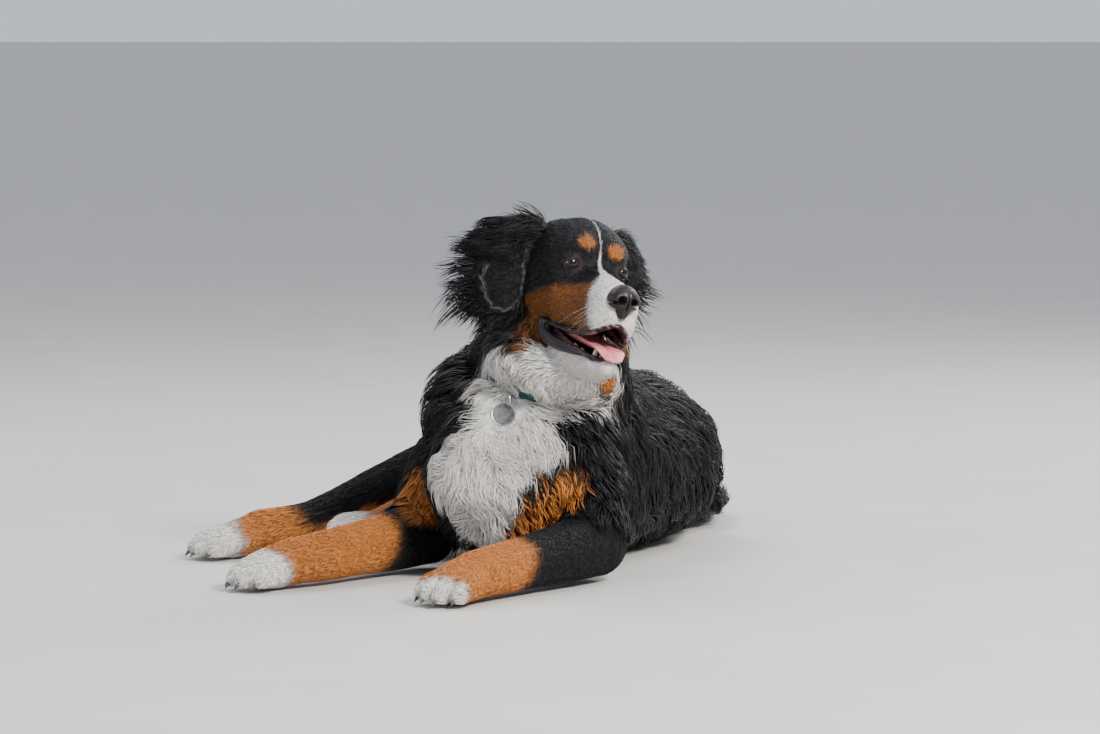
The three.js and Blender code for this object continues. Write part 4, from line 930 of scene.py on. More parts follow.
class Tufts:
    """A batch of tufts: roots on the skin, then spines that lie along it, then slim tapered blades."""

    KEYS = ("root", "uv", "normal", "flow", "long", "deep", "wide")

    def __init__(self, triangles, density, rng, look):
        area = SKIN["area"][triangles] * density
        count = int(area.sum() * 1000)
        face = triangles[rng.choice(len(triangles), size=count, p=area / area.sum())]
        r1, r2 = np.sqrt(rng.random(count)), rng.random(count)
        bary = np.stack([1 - r1, r1 * (1 - r2), r1 * r2], axis=1)[:, :, None]
        self.root = (SKIN["tri"][face] * bary).sum(axis=1)
        self.uv = (SKIN["uv"][face] * bary).sum(axis=1)
        self.normal, self.flow = SKIN["normal"][face], SKIN["flow"][face]
        self.count, self.rng, self.look = count, rng, look

    def keep(self, rows):
        """Keeps only the tufts that a mask or their indices name."""
        for key in self.KEYS:
            if hasattr(self, key):
                setattr(self, key, getattr(self, key)[rows])
        self.count = len(self.root)

    def size(self, long, deep, wide, spread=0.25):
        """Lengths, depths and widths in metres, each with its own small difference."""
        rng, n = self.rng, self.count
        self.long = np.broadcast_to(long, n) * rng.uniform(1 - spread, 1 + spread, n)
        self.deep = np.broadcast_to(deep, n) * rng.uniform(0.35, 1.0, n)
        self.wide = np.broadcast_to(wide, n) * rng.uniform(0.75, 1.2, n)

    def comb(self, rings, hang=0.0, wave=0.12, stray=0.12, swirl=0.0, curl=60, pull=None, turns=6):
        """Steps each spine along the body at its own height over the skin, waving with its neighbours."""
        rng, n, field = self.rng, self.count, SKIN["field"]
        spine = np.zeros((rings + 1, n, 3))
        across = np.cross(self.normal, self.flow)
        hang, wave, stray, swirl = (np.broadcast_to(v, n) for v in (hang, wave, stray, swirl))
        turn = rng.normal(0, 1, n) * stray + swirl * wobble(self.root / MM, curl * 1.6, 41)
        way = unit(self.flow + across * turn[:, None])
        point = self.root - self.normal * ROOT_DEPTH
        spine[0] = point
        phase = 3.5 * wobble(self.root / MM, curl * 2.2, 43) + rng.uniform(-0.6, 0.6, n)
        down = np.array([0, 0, -1.0])
        for i in range(1, rings + 1):
            share = i / rings
            slope = unit(field.slope(point))
            aim = way + down * (hang * share)[:, None]
            if pull is not None:
                aim = aim + pull * share
            aim = aim + np.cross(slope, way) * (wave * np.sin(phase + turns * share))[:, None]
            flat = aim - slope * (aim * slope).sum(axis=1, keepdims=True) * (0.85 if pull is None else 0.3)
            point = point + unit(flat) * (self.long / rings)[:, None]
            # The hair rises fast from its root and sinks a little towards its tip.
            height = self.deep * math.sin(min(share * 1.45, 1.0) * math.pi / 2) * (1 - 0.25 * share)
            off = np.clip(height - field.at(point), -0.02, 0.02)
            if pull is not None:
                off = np.maximum(off, -0.001)
            point = point + unit(field.slope(point)) * (off * 0.8)[:, None]
            low = SPINE_CLEAR + 0.004 * rng.random(n)
            point[:, 2] = np.maximum(point[:, 2], low)
            spine[i] = point
        self.spine = spine

    def gather(self, per, hold, reach, power=1.5):
        """Draws the tips together into locks of about so many tufts each."""
        rng, n = self.rng, self.count
        centres = rng.choice(n, max(n // per, 1), replace=False)
        tree = KDTree(len(centres))
        for k, c in enumerate(centres):
            tree.insert(self.root[c], k)
        tree.balance()
        lead = centres[np.array([tree.find(r)[1] for r in self.root])]
        gap = np.linalg.norm(self.root - self.root[lead], axis=1)
        same = (self.flow * self.flow[lead]).sum(axis=1) > 0.5
        hold = hold * smooth(reach * 2, reach, gap) * rng.uniform(0.55, 1.0, n) * same
        last = len(self.spine) - 1
        before = self.spine.copy()
        for i in range(1, last + 1):
            share = ((i / last) ** power * hold)[:, None]
            self.spine[i] += (before[i][lead] - before[i]) * share
        self.spine[:, :, 2] = np.maximum(self.spine[:, :, 2], LOCK_CLEAR)

    def drop(self, mask):
        self.spine = self.spine[:, ~mask]
        self.keep(~mask)

    def write(self, name, seed, most=LONG_BATCH, **blades):
        """Writes the tufts from front to back, in pieces that each stay under 200,000 triangles."""
        order = np.argsort(self.root[:, 1])
        for k, start in enumerate(range(0, self.count, most)):
            batch = copy.copy(self)
            batch.spine = self.spine[:, order[start : start + most]]
            batch.keep(order[start : start + most])
            batch.mesh(f"{name}_{k + 1}", seed * 10 + k, **blades)

    def mesh(self, name, seed, taper=(1, 0.95, 0.75, 0.45), vary=1.0):
        """One object of slim three-sided blades, with the unwrap, streak places and colours, each blade
        darkened towards its root as painted shade.
        """
        rings, n, spine = len(self.spine) - 1, self.count, self.spine
        run = unit(np.concatenate([spine[1:], spine[-1:] * 2 - spine[-2:-1]]) - spine)
        side = unit(np.cross(run, self.normal[None]))
        twist = self.rng.uniform(-0.5, 0.5, n)[None, :, None]
        up = np.cross(side, run)
        side, up = unit(side + up * twist)[:-1], unit(up - side * twist)[:-1]
        shape = np.interp(np.arange(rings) / rings, np.linspace(0, 1, len(taper) + 1)[:-1], taper)
        half = (self.wide[None] * shape[:, None] / 2)[:, :, None]
        middle = spine[:-1]
        ring = np.stack([middle + side * half, middle + up * half * RIDGE, middle - side * half], axis=2)
        per = rings * 3 + 1
        ring = ring.transpose(1, 0, 2, 3).reshape(n, rings * 3, 3)
        points = np.concatenate([ring, spine[-1][:, None]], axis=1).reshape(-1, 3)
        points[:, 2] = np.maximum(points[:, 2], FACE_CLEAR)
        faces = []
        for i in range(rings - 1):
            for k in range(3):
                a, b = i * 3 + k, i * 3 + (k + 1) % 3
                faces += [(a, a + 3, b + 3), (a, b + 3, b)]
        faces += [(per - 4 + k, per - 1, per - 4 + (k + 1) % 3) for k in range(3)]
        every = (np.array(faces, np.int32)[None] + (np.arange(n) * per)[:, None, None]).reshape(-1, 3)
        piece = new_piece(name, points, every, "black_coat", SKIN["coat"])
        # Each corner's place on its blade: across from 0 to 1, and from the root to the tip.
        place = np.array([((k % 3) / 2, (k // 3) / rings) for k in range(per - 1)] + [(0.5, 1.0)])
        tuft, corner = every.ravel() // per, place[every.ravel() % per]
        uv_of_loops(piece.data, "OFBake", self.uv[tuft] + (corner - 0.5) * BAKE_PATCH)
        uv_of_loops(piece.data, "streaks", corner + self.rng.uniform(0, 40, (n, 1))[tuft] * [[1, 0]])
        piece.data.uv_layers["OFBake"].active_render = True
        piece.data.uv_layers.active_index = 0
        colour = coat_colour(self.root, self.look, seed, vary)
        # Painted shade: each blade darkens towards its root, less so on pale hair, for the shade deep in the
        # coat.
        root_shade = 0.44 * vary * (1 - 0.5 * smooth(0.3, 0.6, colour[:, 1]))
        shade = 1 - root_shade[:, None] * (1 - place[None, :, 1] ** 0.8)
        colour_points(piece.data, (colour[:, None] * shade[..., None]).reshape(-1, 3))


# Finishes.


def add_node(tree, kind, inputs=None, **settings):
    """A node with its settings; each of its inputs takes a value or the socket that feeds it."""
    node = tree.nodes.new(kind)
    for key, value in settings.items():
        setattr(node, key, value)
    for key, value in (inputs or {}).items():
        if isinstance(value, bpy.types.NodeSocket):
            tree.links.new(value, node.inputs[key])
        else:
            node.inputs[key].default_value = value
    return node


def multiply(tree, a, b):
    """One colour multiplied by another; 6 and 7 are the mix node's two colours, 2 is its result."""
    inputs = {"Factor": 1, 6: a, 7: b}
    return add_node(tree, "ShaderNodeMix", inputs, data_type="RGBA", blend_type="MULTIPLY").outputs[2]


class Finish:
    """A material built node by node."""

    def __init__(self, name, **shader):
        self.material = bpy.data.materials.new(name)
        self.material.use_nodes = True
        self.tree = self.material.node_tree
        self.shader = next(n for n in self.tree.nodes if n.type == "BSDF_PRINCIPLED")
        for key, value in shader.items():
            self.shader.inputs[key.replace("_", " ").title().replace("Ior", "IOR")].default_value = value

    def node(self, kind, inputs=None, **settings):
        return add_node(self.tree, kind, inputs, **settings)

    def place(self, uv_map=None):
        """Where each point is: in the object, or in one of its UV maps."""
        if uv_map:
            return self.node("ShaderNodeUVMap", uv_map=uv_map).outputs["UV"]
        return self.node("ShaderNodeTexCoord").outputs["Object"]

    def grain(self, pebbles, blotches):
        """The relief and the darker patches of a moist grain."""
        inputs = {"Vector": self.place(), "Pebbles": pebbles, "Blotches": blotches}
        return self.node("ShaderNodeGroup", inputs, node_tree=moist_grain()).outputs

    def ramp(self, value, stops):
        """A colour for each value, between stops that are a colour or a shade of grey each."""
        node = self.node("ShaderNodeValToRGB", {"Fac": value})
        elements = node.color_ramp.elements
        while len(elements) < len(stops):
            elements.new(0.5)
        for element, (at, colour) in zip(elements, stops):
            element.position = at
            element.color = (*(colour if isinstance(colour, tuple) else (colour,) * 3), 1)
        return node.outputs["Color"]

    def feed(self, socket, value):
        self.tree.links.new(value, self.shader.inputs[socket])

    def bump(self, height, strength, distance):
        bump = self.node("ShaderNodeBump", {"Height": height, "Strength": strength, "Distance": distance})
        self.feed("Normal", bump.outputs["Normal"])

    def mottle(self, grain, shades, greys, low=0.3, high=0.7):
        """Two colours and two roughnesses, as the grain's patches have them."""
        self.feed("Base Color", self.ramp(grain["Mask"], [(low, shades[0]), (high, shades[1])]))
        self.feed("Roughness", self.ramp(grain["Mask"], [(0.3, greys[0]), (0.7, greys[1])]))


def effect(name, sockets_in, sockets_out, build):
    """A node group with named sockets, built once."""
    if name in bpy.data.node_groups:
        return bpy.data.node_groups[name]
    tree = bpy.data.node_groups.new(name, "ShaderNodeTree")
    for label, kind, value in sockets_in:
        socket = tree.interface.new_socket(name=label, in_out="INPUT", socket_type=f"NodeSocket{kind}")
        if value is not None:
            socket.default_value = value
    for label, kind in sockets_out:
        tree.interface.new_socket(name=label, in_out="OUTPUT", socket_type=f"NodeSocket{kind}")
    start, end = tree.nodes.new("NodeGroupInput"), tree.nodes.new("NodeGroupOutput")
    for label, value in build(tree, start.outputs).items():
        tree.links.new(value, end.inputs[label])
    return tree


def hair_streaks():
    """Strands along a tuft: a shade for each strand, and their relief."""

    def build(tree, given):
        stretch = add_node(tree, "ShaderNodeMapping", {"Vector": given["Vector"], "Scale": (9, 0.55, 1)})
        inputs = {"Vector": stretch.outputs["Vector"], "Scale": 1.3, "Detail": 3, "Roughness": 0.6}
        strand = add_node(tree, "ShaderNodeTexNoise", inputs).outputs["Fac"]
        inputs = {"Value": strand, "From Min": 0.3, "From Max": 0.7}
        inputs.update({"To Min": given["Low"], "To Max": given["High"]})
        spread = add_node(tree, "ShaderNodeMapRange", inputs)
        return {"Color": multiply(tree, given["Color"], spread.outputs["Result"]), "Height": strand}

    sockets = [
        ("Vector", "Vector", None), ("Color", "Color", (0.5, 0.5, 0.5, 1)), ("Low", "Float", 0.6),
        ("High", "Float", 1.4),
    ]
    return effect("hair streaks", sockets, [("Color", "Color"), ("Height", "Float")], build)


def moist_grain():
    """Fine pebbles and blotches for bare skin: relief, and a mask of darker patches."""

    def build(tree, given):
        inputs = {"Vector": given["Vector"], "Scale": given["Pebbles"], "Randomness": 0.9}
        cells = add_node(tree, "ShaderNodeTexVoronoi", inputs)
        inputs = {"Vector": given["Vector"], "Scale": given["Blotches"], "Detail": 4}
        blotch = add_node(tree, "ShaderNodeTexNoise", inputs)
        return {"Height": cells.outputs["Distance"], "Mask": blotch.outputs["Fac"]}

    sockets = [("Vector", "Vector", None), ("Pebbles", "Float", 900.0), ("Blotches", "Float", 90.0)]
    return effect("moist grain", sockets, [("Height", "Float"), ("Mask", "Float")], build)


def rgb(colour, gain=1.0):
    return tuple(min(c * gain, 1.0) for c in colour[:3])


def coat_finish():
    f = Finish("coat hair", roughness=0.5, specular_ior_level=0.29)
    own = f.node("ShaderNodeAttribute", attribute_name="coat_colour").outputs["Color"]
    inputs = {"Vector": f.place("streaks"), "Color": own, "Low": 0.62, "High": 1.3}
    streaks = f.node("ShaderNodeGroup", inputs, node_tree=hair_streaks()).outputs
    f.feed("Base Color", streaks["Color"])
    f.feed("Roughness", f.ramp(streaks["Height"], [(0.3, 0.58), (0.7, 0.32)]))
    f.bump(streaks["Height"], 0.5, 0.0006)
    return f.material


def skin_finish():
    f = Finish("skin under the coat", specular_ior_level=0.3)
    own = f.node("ShaderNodeAttribute", attribute_name="coat_colour").outputs["Color"]
    wet = f.node("ShaderNodeAttribute", attribute_name="wet").outputs["Fac"]
    grain = f.grain(420.0, 140.0)
    f.feed("Base Color", multiply(f.tree, own, f.ramp(grain["Mask"], [(0.3, 0.7), (0.7, 1.25)])))
    f.feed("Roughness", f.ramp(wet, [(0, 0.75), (1, 0.24)]))
    f.bump(grain["Height"], 0.35, 0.0007)
    return f.material


def bare_finish(name, tones, pebbles, blotches, rough, depth, **shader):
    """Bare moist skin, horn or enamel: two tones in blotches over a fine grain."""
    f = Finish(name, **shader)
    grain = f.grain(pebbles, blotches)
    f.mottle(grain, tones, (rough * 0.8, rough * 1.3), 0.38, 0.62)
    f.bump(grain["Height"], 0.5, depth)
    return f.material


def metal_finish(name, tones, pebbles, blotches, greys):
    """Bare metal, brushed and dulled in patches by wear."""
    f = Finish(name, metallic=1.0)
    grain = f.grain(pebbles, blotches)
    f.mottle(grain, tones, greys)
    f.bump(grain["Height"], 0.2, 0.0002)
    return f.material


# Sweeps for the small parts, and the steps that pieces share.


def sweep(rows, up=(0, 0, 1), sides=20, per=4, dome=0.8, on_head=True, shape=None):
    """A closed tube of ovals through the rows, rounded at both ends."""
    rows, up = world_rows(rows, up, on_head)
    path, size = catmull(rows[:, :3], per) * MM, np.maximum(catmull(rows[:, 3:], per), 0.05) * MM
    along = unit(np.gradient(path, axis=0))
    side = unit(np.cross(along, up))
    top = np.cross(side, along)
    rings = []
    for at, sign in ((0, -1), (len(path) - 1, 1)):
        small = size[at].min() * dome
        cap = []
        for t in (0.35, 0.7, 0.93):
            cap.append((path[at] + along[at] * sign * small * t, size[at] * math.sqrt(1 - t * t), at))
        rings.append((cap, path[at] + along[at] * sign * small))
    stations = rings[0][0][::-1] + [(path[i], size[i], i) for i in range(len(path))] + rings[1][0]
    angle = np.arange(sides) * 2 * math.pi / sides
    points = []
    for share, (centre, (w, h), i) in enumerate(stations):
        ring = centre + np.outer(np.cos(angle) * w, side[i]) + np.outer(np.sin(angle) * h, top[i])
        if shape is not None:
            ring = shape(ring, share / (len(stations) - 1), angle, side[i], top[i], w, h)
        points.append(ring)
    count = len(points)
    points = np.concatenate(points + [[rings[0][1], rings[1][1]]])
    faces = []
    for i in range(count - 1):
        for k in range(sides):
            a, b = i * sides + k, i * sides + (k + 1) % sides
            faces += [(a, b, b + sides), (a, b + sides, a + sides)]
    for k in range(sides):
        n = (k + 1) % sides
        faces.append((count * sides, n, k))
        faces.append((count * sides + 1, (count - 1) * sides + k, (count - 1) * sides + n))
    return points, np.array(faces)


def joined(shapes):
    """Several meshes of points and triangles as one."""
    points, faces, shift = [], [], 0
    for p, f in shapes:
        points.append(p)
        faces.append(np.asarray(f) + shift)
        shift += len(p)
    return np.concatenate(points), np.concatenate(faces)


def select_only(piece):
    bpy.ops.object.select_all(action="DESELECT")
    piece.select_set(True)
    bpy.context.view_layer.objects.active = piece


@contextmanager
def editing(first=None):
    """Edit mode for the active piece, after everything in it is selected or deselected."""
    bpy.ops.object.mode_set(mode="EDIT")
    if first:
        bpy.ops.mesh.select_all(action=first)
    yield
    bpy.ops.object.mode_set(mode="OBJECT")


def select_where(elements, wanted):
    """Selects only the points or faces of the active piece that are wanted."""
    with editing("DESELECT"):
        pass
    for element in elements:
        element.select = wanted(element)


def outward(piece):
    """Turns every face of a closed piece outwards."""
    select_only(piece)
    with editing("SELECT"):
        bpy.ops.mesh.normals_make_consistent(inside=False)
    return piece


def primitive(operator, name, location=(0, 0, 0), **sizes):
    """A new primitive as the only selected piece."""
    bpy.ops.object.select_all(action="DESELECT")
    operator(location=location, **sizes)
    piece = bpy.context.object
    piece.name = name
    return piece


def settle(piece, place, slot, node):
    """Puts the piece in its place and leaves that in its mesh; it stands for one of the solids."""
    piece.matrix_world = place
    select_only(piece)
    bpy.ops.object.transform_apply(location=True, rotation=True, scale=True)
    ride(piece, slot, node)


def finish_modifier(piece, kind, name, **settings):
    modifier = piece.modifiers.new(name, kind)
    for key, value in settings.items():
        setattr(modifier, key, value)
    select_only(piece)
    bpy.ops.object.modifier_apply(modifier=name)


def turn_matrix(origin, forward, up):
    """A placement whose Z axis runs along forward."""
    z = unit(forward)
    x = unit(np.cross(up, z))
    y = np.cross(z, x)
    m = Matrix.Identity(4)
    for i in range(3):
        m[i][0], m[i][1], m[i][2], m[i][3] = x[i], y[i], z[i], origin[i]
    return m


# Sizes and colours that a user would change.


class CoatLook(bpy.types.PropertyGroup):
    black_hair: bpy.props.FloatVectorProperty(
        name="Black hair", description="Colour of the long black hair", subtype="COLOR", size=3,
        default=(0.0062, 0.0064, 0.0085), min=0, max=1,
    )
    rust_hair: bpy.props.FloatVectorProperty(
        name="Rust hair", description="Colour of the rust markings on the legs and breast",
        subtype="COLOR", size=3, default=(0.60, 0.215, 0.048), min=0, max=1,
    )
    white_hair: bpy.props.FloatVectorProperty(
        name="White hair", description="Colour of the bib, blaze, chin and paws", subtype="COLOR", size=3,
        default=(0.88, 0.85, 0.81), min=0, max=1,
    )
    fullness: bpy.props.FloatProperty(
        name="Fullness", description="How densely the tufts stand, as a share of the usual", subtype="FACTOR",
        default=1.0, min=0.05, max=1.2,
    )
    length: bpy.props.FloatProperty(
        name="Length", description="Length of the hair, as a share of the usual", subtype="FACTOR",
        default=1.0, min=0.5, max=1.2,
    )


class FaceLook(bpy.types.PropertyGroup):
    nose: bpy.props.FloatVectorProperty(
        name="Nose", description="Colour of the nose leather", subtype="COLOR", size=3,
        default=(0.010, 0.0062, 0.0075), min=0, max=1,
    )
    lip: bpy.props.FloatVectorProperty(
        name="Lips", description="Colour of the dark lips", subtype="COLOR", size=3,
        default=(0.009, 0.007, 0.010), min=0, max=1,
    )
    gum: bpy.props.FloatVectorProperty(
        name="Gums", description="Colour of the gums and the pink patches of the lips",
        subtype="COLOR", size=3, default=(0.42, 0.17, 0.18), min=0, max=1,
    )
    tongue: bpy.props.FloatVectorProperty(
        name="Tongue", description="Colour of the tongue", subtype="COLOR", size=3,
        default=(0.66, 0.19, 0.22), min=0, max=1,
    )
    iris: bpy.props.FloatVectorProperty(
        name="Iris", description="Colour of the irises", subtype="COLOR", size=3,
        default=(0.065, 0.022, 0.008), min=0, max=1,
    )
    eye_radius: bpy.props.FloatProperty(
        name="Eye radius", description="Radius of each eyeball", subtype="DISTANCE", unit="LENGTH",
        default=0.0112, min=0.009, max=0.013, precision=4,
    )


class CollarLook(bpy.types.PropertyGroup):
    webbing: bpy.props.FloatVectorProperty(
        name="Webbing", description="Colour of the collar's webbing", subtype="COLOR", size=3,
        default=(0.008, 0.085, 0.125), min=0, max=1,
    )
    width: bpy.props.FloatProperty(
        name="Width", description="Width of the collar", subtype="DISTANCE", unit="LENGTH",
        default=0.025, min=0.015, max=0.04, precision=4,
    )
    thick: bpy.props.FloatProperty(
        name="Thickness", description="Thickness of the collar", subtype="DISTANCE", unit="LENGTH",
        default=0.003, min=0.001, max=0.005, precision=4,
    )
    tag_radius: bpy.props.FloatProperty(
        name="Tag radius", description="Radius of the round tag", subtype="DISTANCE", unit="LENGTH",
        default=0.016, min=0.01, max=0.02, precision=4,
    )


class StageLook(bpy.types.PropertyGroup):
    floor: bpy.props.FloatVectorProperty(
        name="Floor", description="Colour of the floor", subtype="COLOR", size=3,
        default=(0.54, 0.53, 0.515), min=0, max=1,
    )
    light: bpy.props.FloatProperty(
        name="Light", description="Strength of the lamps, as a share of the usual", subtype="FACTOR",
        default=1.0, min=0.1, max=3.0,
    )


# The pieces.

FLESH = (
    "torso", "neck", "head", "ear_right", "ear_left", "lower_jaw", "foreleg_right", "foreleg_left",
    "forepaw_right", "forepaw_left", "hindleg_right", "hindleg_left", "hindpaw_right", "hindpaw_left", "tail",
)


class DOG_OT_skin(bpy.types.Operator):
    """Draws the whole skin as one surface and paints the markings on it"""

    bl_idname = "dog.skin"
    bl_label = "Skin"

    def execute(self, context):
        coat, face = context.scene.dog_coat, context.scene.dog_face
        lay_out_parts()
        SKIN["field"] = body_field()
        points, quads = SKIN["field"].surface()
        points[:, 2] = np.maximum(points[:, 2], 0.0)
        skin = new_piece("skin", points, quads, "black_coat", skin_finish())
        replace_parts(skin, *FLESH)
        outward(skin)
        finish_modifier(skin, "SMOOTH", "even", factor=0.5, iterations=2)
        with editing("SELECT"):
            bpy.ops.uv.smart_project(angle_limit=math.radians(66), island_margin=0.002)
        skin.data.uv_layers[0].name = "OFBake"
        co = read_array(skin.data.vertices, "co", 3).astype(float)
        colour, wet = self.paint(co, coat, face)
        colour_points(skin.data, colour)
        layer = skin.data.attributes.new("wet", "FLOAT", "POINT")
        layer.data.foreach_set("value", wet.astype(np.float32))
        read_skin(skin)
        sort_skin()
        return {"FINISHED"}

    @staticmethod
    def paint(co, coat, face):
        """The skin's colour at each point, darker than the hair on it as painted shade under the coat, and
        where it is bare and wet; the wet skin darkens deeper in the mouth as painted shade.
        """
        h = world_to_head(co)
        mouth = Trunk(MOUTH_ROWS, inset=-1, on_head=True).nearest(co)[0] / MM
        trough = Trunk(TROUGH_ROWS, on_head=True).nearest(co)[0] / MM
        inner = np.minimum(mouth, trough + 0.5)
        lips = np.minimum.reduce([Trunk(rows, on_head=True, per=3).nearest(co)[0] for rows in LIPS]) / MM
        wet = np.maximum(smooth(3.0, 0.8, inner) * (h[:, 1] < 92), smooth(2.2, 0.9, lips))
        wet = np.maximum(wet, in_mouth(h) | ((inner < 7) & (h[:, 1] < -20) & (np.abs(h[:, 0]) < 41)))
        # How deep inside the mouth each point lies, for painted shade that darkens the lips and gums there.
        deep = smooth(-1.5, -9, inner) + smooth(30, -10, h[:, 1]) * smooth(0, -3, inner)
        # Painted shade: the skin takes the colour of the hair on it, darkened for the shade under the coat.
        colour = coat_colour(co, coat, 7) * np.where(markings(co)[0] > 0.5, 0.62, 0.5)[:, None]
        inside = smooth(32, 24, np.abs(h[:, 0]))[:, None]
        pink = smooth(-0.2, 0.5, wobble(h, 16, 31))[:, None] * (0.05 + 0.5 * inside)
        lip = np.array(face.lip) * (1 - pink) + np.array(face.gum) * pink
        # Painted shade: the lips and gums darken deeper in the mouth.
        lip = lip * (1 - 0.6 * np.clip(deep, 0, 1))[:, None]
        colour = colour + (lip - colour) * wet[:, None]
        rim = smooth(19, 16, from_eye(h))[:, None]
        return colour + (np.array(face.nose) - colour) * rim * 0.8, wet


# In millimetres: half an eye's slit across and up, and the middle and the half sizes of the nose.
EYE_SLIT = (12.2, 6.6)
NOSE_AT, NOSE_SIZE = (0, 92, -38), (22.5, 19, 21)


def of_part(*names):
    """The skin's triangles that belong to these parts, clear of the mouth, the eyes and the floor."""
    keys = [SKIN["names"].index(n) for n in names]
    c, h = SKIN["centre"], SKIN["head"]
    mask = np.isin(SKIN["part"], keys)
    mouth = Trunk(MOUTH_ROWS, inset=-1, on_head=True)
    trough = Trunk(TROUGH_ROWS, on_head=True)
    near = np.zeros(len(c), bool)
    near[mask] = (mouth.nearest(c[mask])[0] < 0.0028) | (trough.nearest(c[mask])[0] < 0.0024)
    mask &= ~(near & (h[:, 1] < 97)) & (SKIN["lips"] > 0.0012) & ~in_mouth(h)
    for _, out in SIDES:
        centre, ahead, outer, upper = eye_frame(out)
        off = (c - centre) / MM
        slit = ((off @ outer) / EYE_SLIT[0]) ** 2 + ((off @ upper) / EYE_SLIT[1]) ** 2 < 1
        mask &= ~(slit & (off @ ahead > 0) & (np.linalg.norm(off, axis=1) < 18))
    off_nose = np.linalg.norm((h - NOSE_AT) / NOSE_SIZE, axis=1) > 1
    mask &= off_nose & ~((SKIN["normal"][:, 2] < -0.75) & (c[:, 2] < 0.012))
    return np.nonzero(mask)[0]


# The camera stands 6 m off and 0.75 m up, 25 degrees to the dog's left of straight ahead.
CAMERA_TURN, CAMERA_FAR, CAMERA_UP = math.radians(25), 6, 0.75
CAMERA_AT = np.array([CAMERA_FAR * math.sin(CAMERA_TURN), -CAMERA_FAR * math.cos(CAMERA_TURN), CAMERA_UP])
# The collar's middle in metres, and the way its axis leans.
COLLAR_AT, COLLAR_LEAN, COLLAR_RADIUS = np.array([27.0, 9.0, 268.0]) * MM, (0.25, -0.29, 0.93), 0.092
COLLAR_AXIS = unit(np.array(COLLAR_LEAN))


def round_collar(root, long, deep):
    """Hair above the collar ends at it where it shows, and hair under the tag lies flat."""
    above = (root - COLLAR_AT) @ COLLAR_AXIS
    long, deep = (np.broadcast_to(v, len(root)).copy() for v in (long, deep))
    shows = smooth(0.024, 0.013, np.abs(root[:, 0] - 0.034)) * (root[:, 1] < -0.03)
    over = (above > 0) & (above < 0.09)
    stop = np.maximum(above - 0.002, 0.012)
    long[over] = (long + (np.minimum(long, stop) - long) * shows)[over]
    deep[over] = (deep * (1 - 0.35 * shows))[over]
    gone = (above > -0.002) & (above < 0.0135) & (shows > 0.5)
    off = (root - box_middle("tag") - [0, 0, 0.012]) * [1, 0.4, 0.7]
    under = smooth(0.040, 0.020, np.linalg.norm(off, axis=1)) * (above < 0)
    return long * (1 - 0.4 * under), deep * (1 - 0.85 * under), ~gone


def clear_tag(tufts):
    """Hair that would hang over the tag or its ring stops short of them."""
    tag = box_middle("tag")
    view = unit(CAMERA_AT - tag)
    for share in (0.7, 0.6, 0.5, 0):
        places = np.concatenate([tufts.spine, (tufts.spine[1:] + tufts.spine[:-1]) / 2])
        hides = np.zeros(tufts.count, bool)
        for centre, radius in ((tag, 0.016), (box_middle("collar_ring"), 0.007)):
            off = places - centre
            ahead = off @ view
            aside = np.linalg.norm(off - ahead[..., None] * view, axis=2)
            hides |= ((aside < radius) & (ahead > -0.003)).any(axis=0)
        root = tufts.spine[0][None, hides]
        if share:
            tufts.spine[:, hides] = root + (tufts.spine[:, hides] - root) * share
        else:
            tufts.drop(hides)


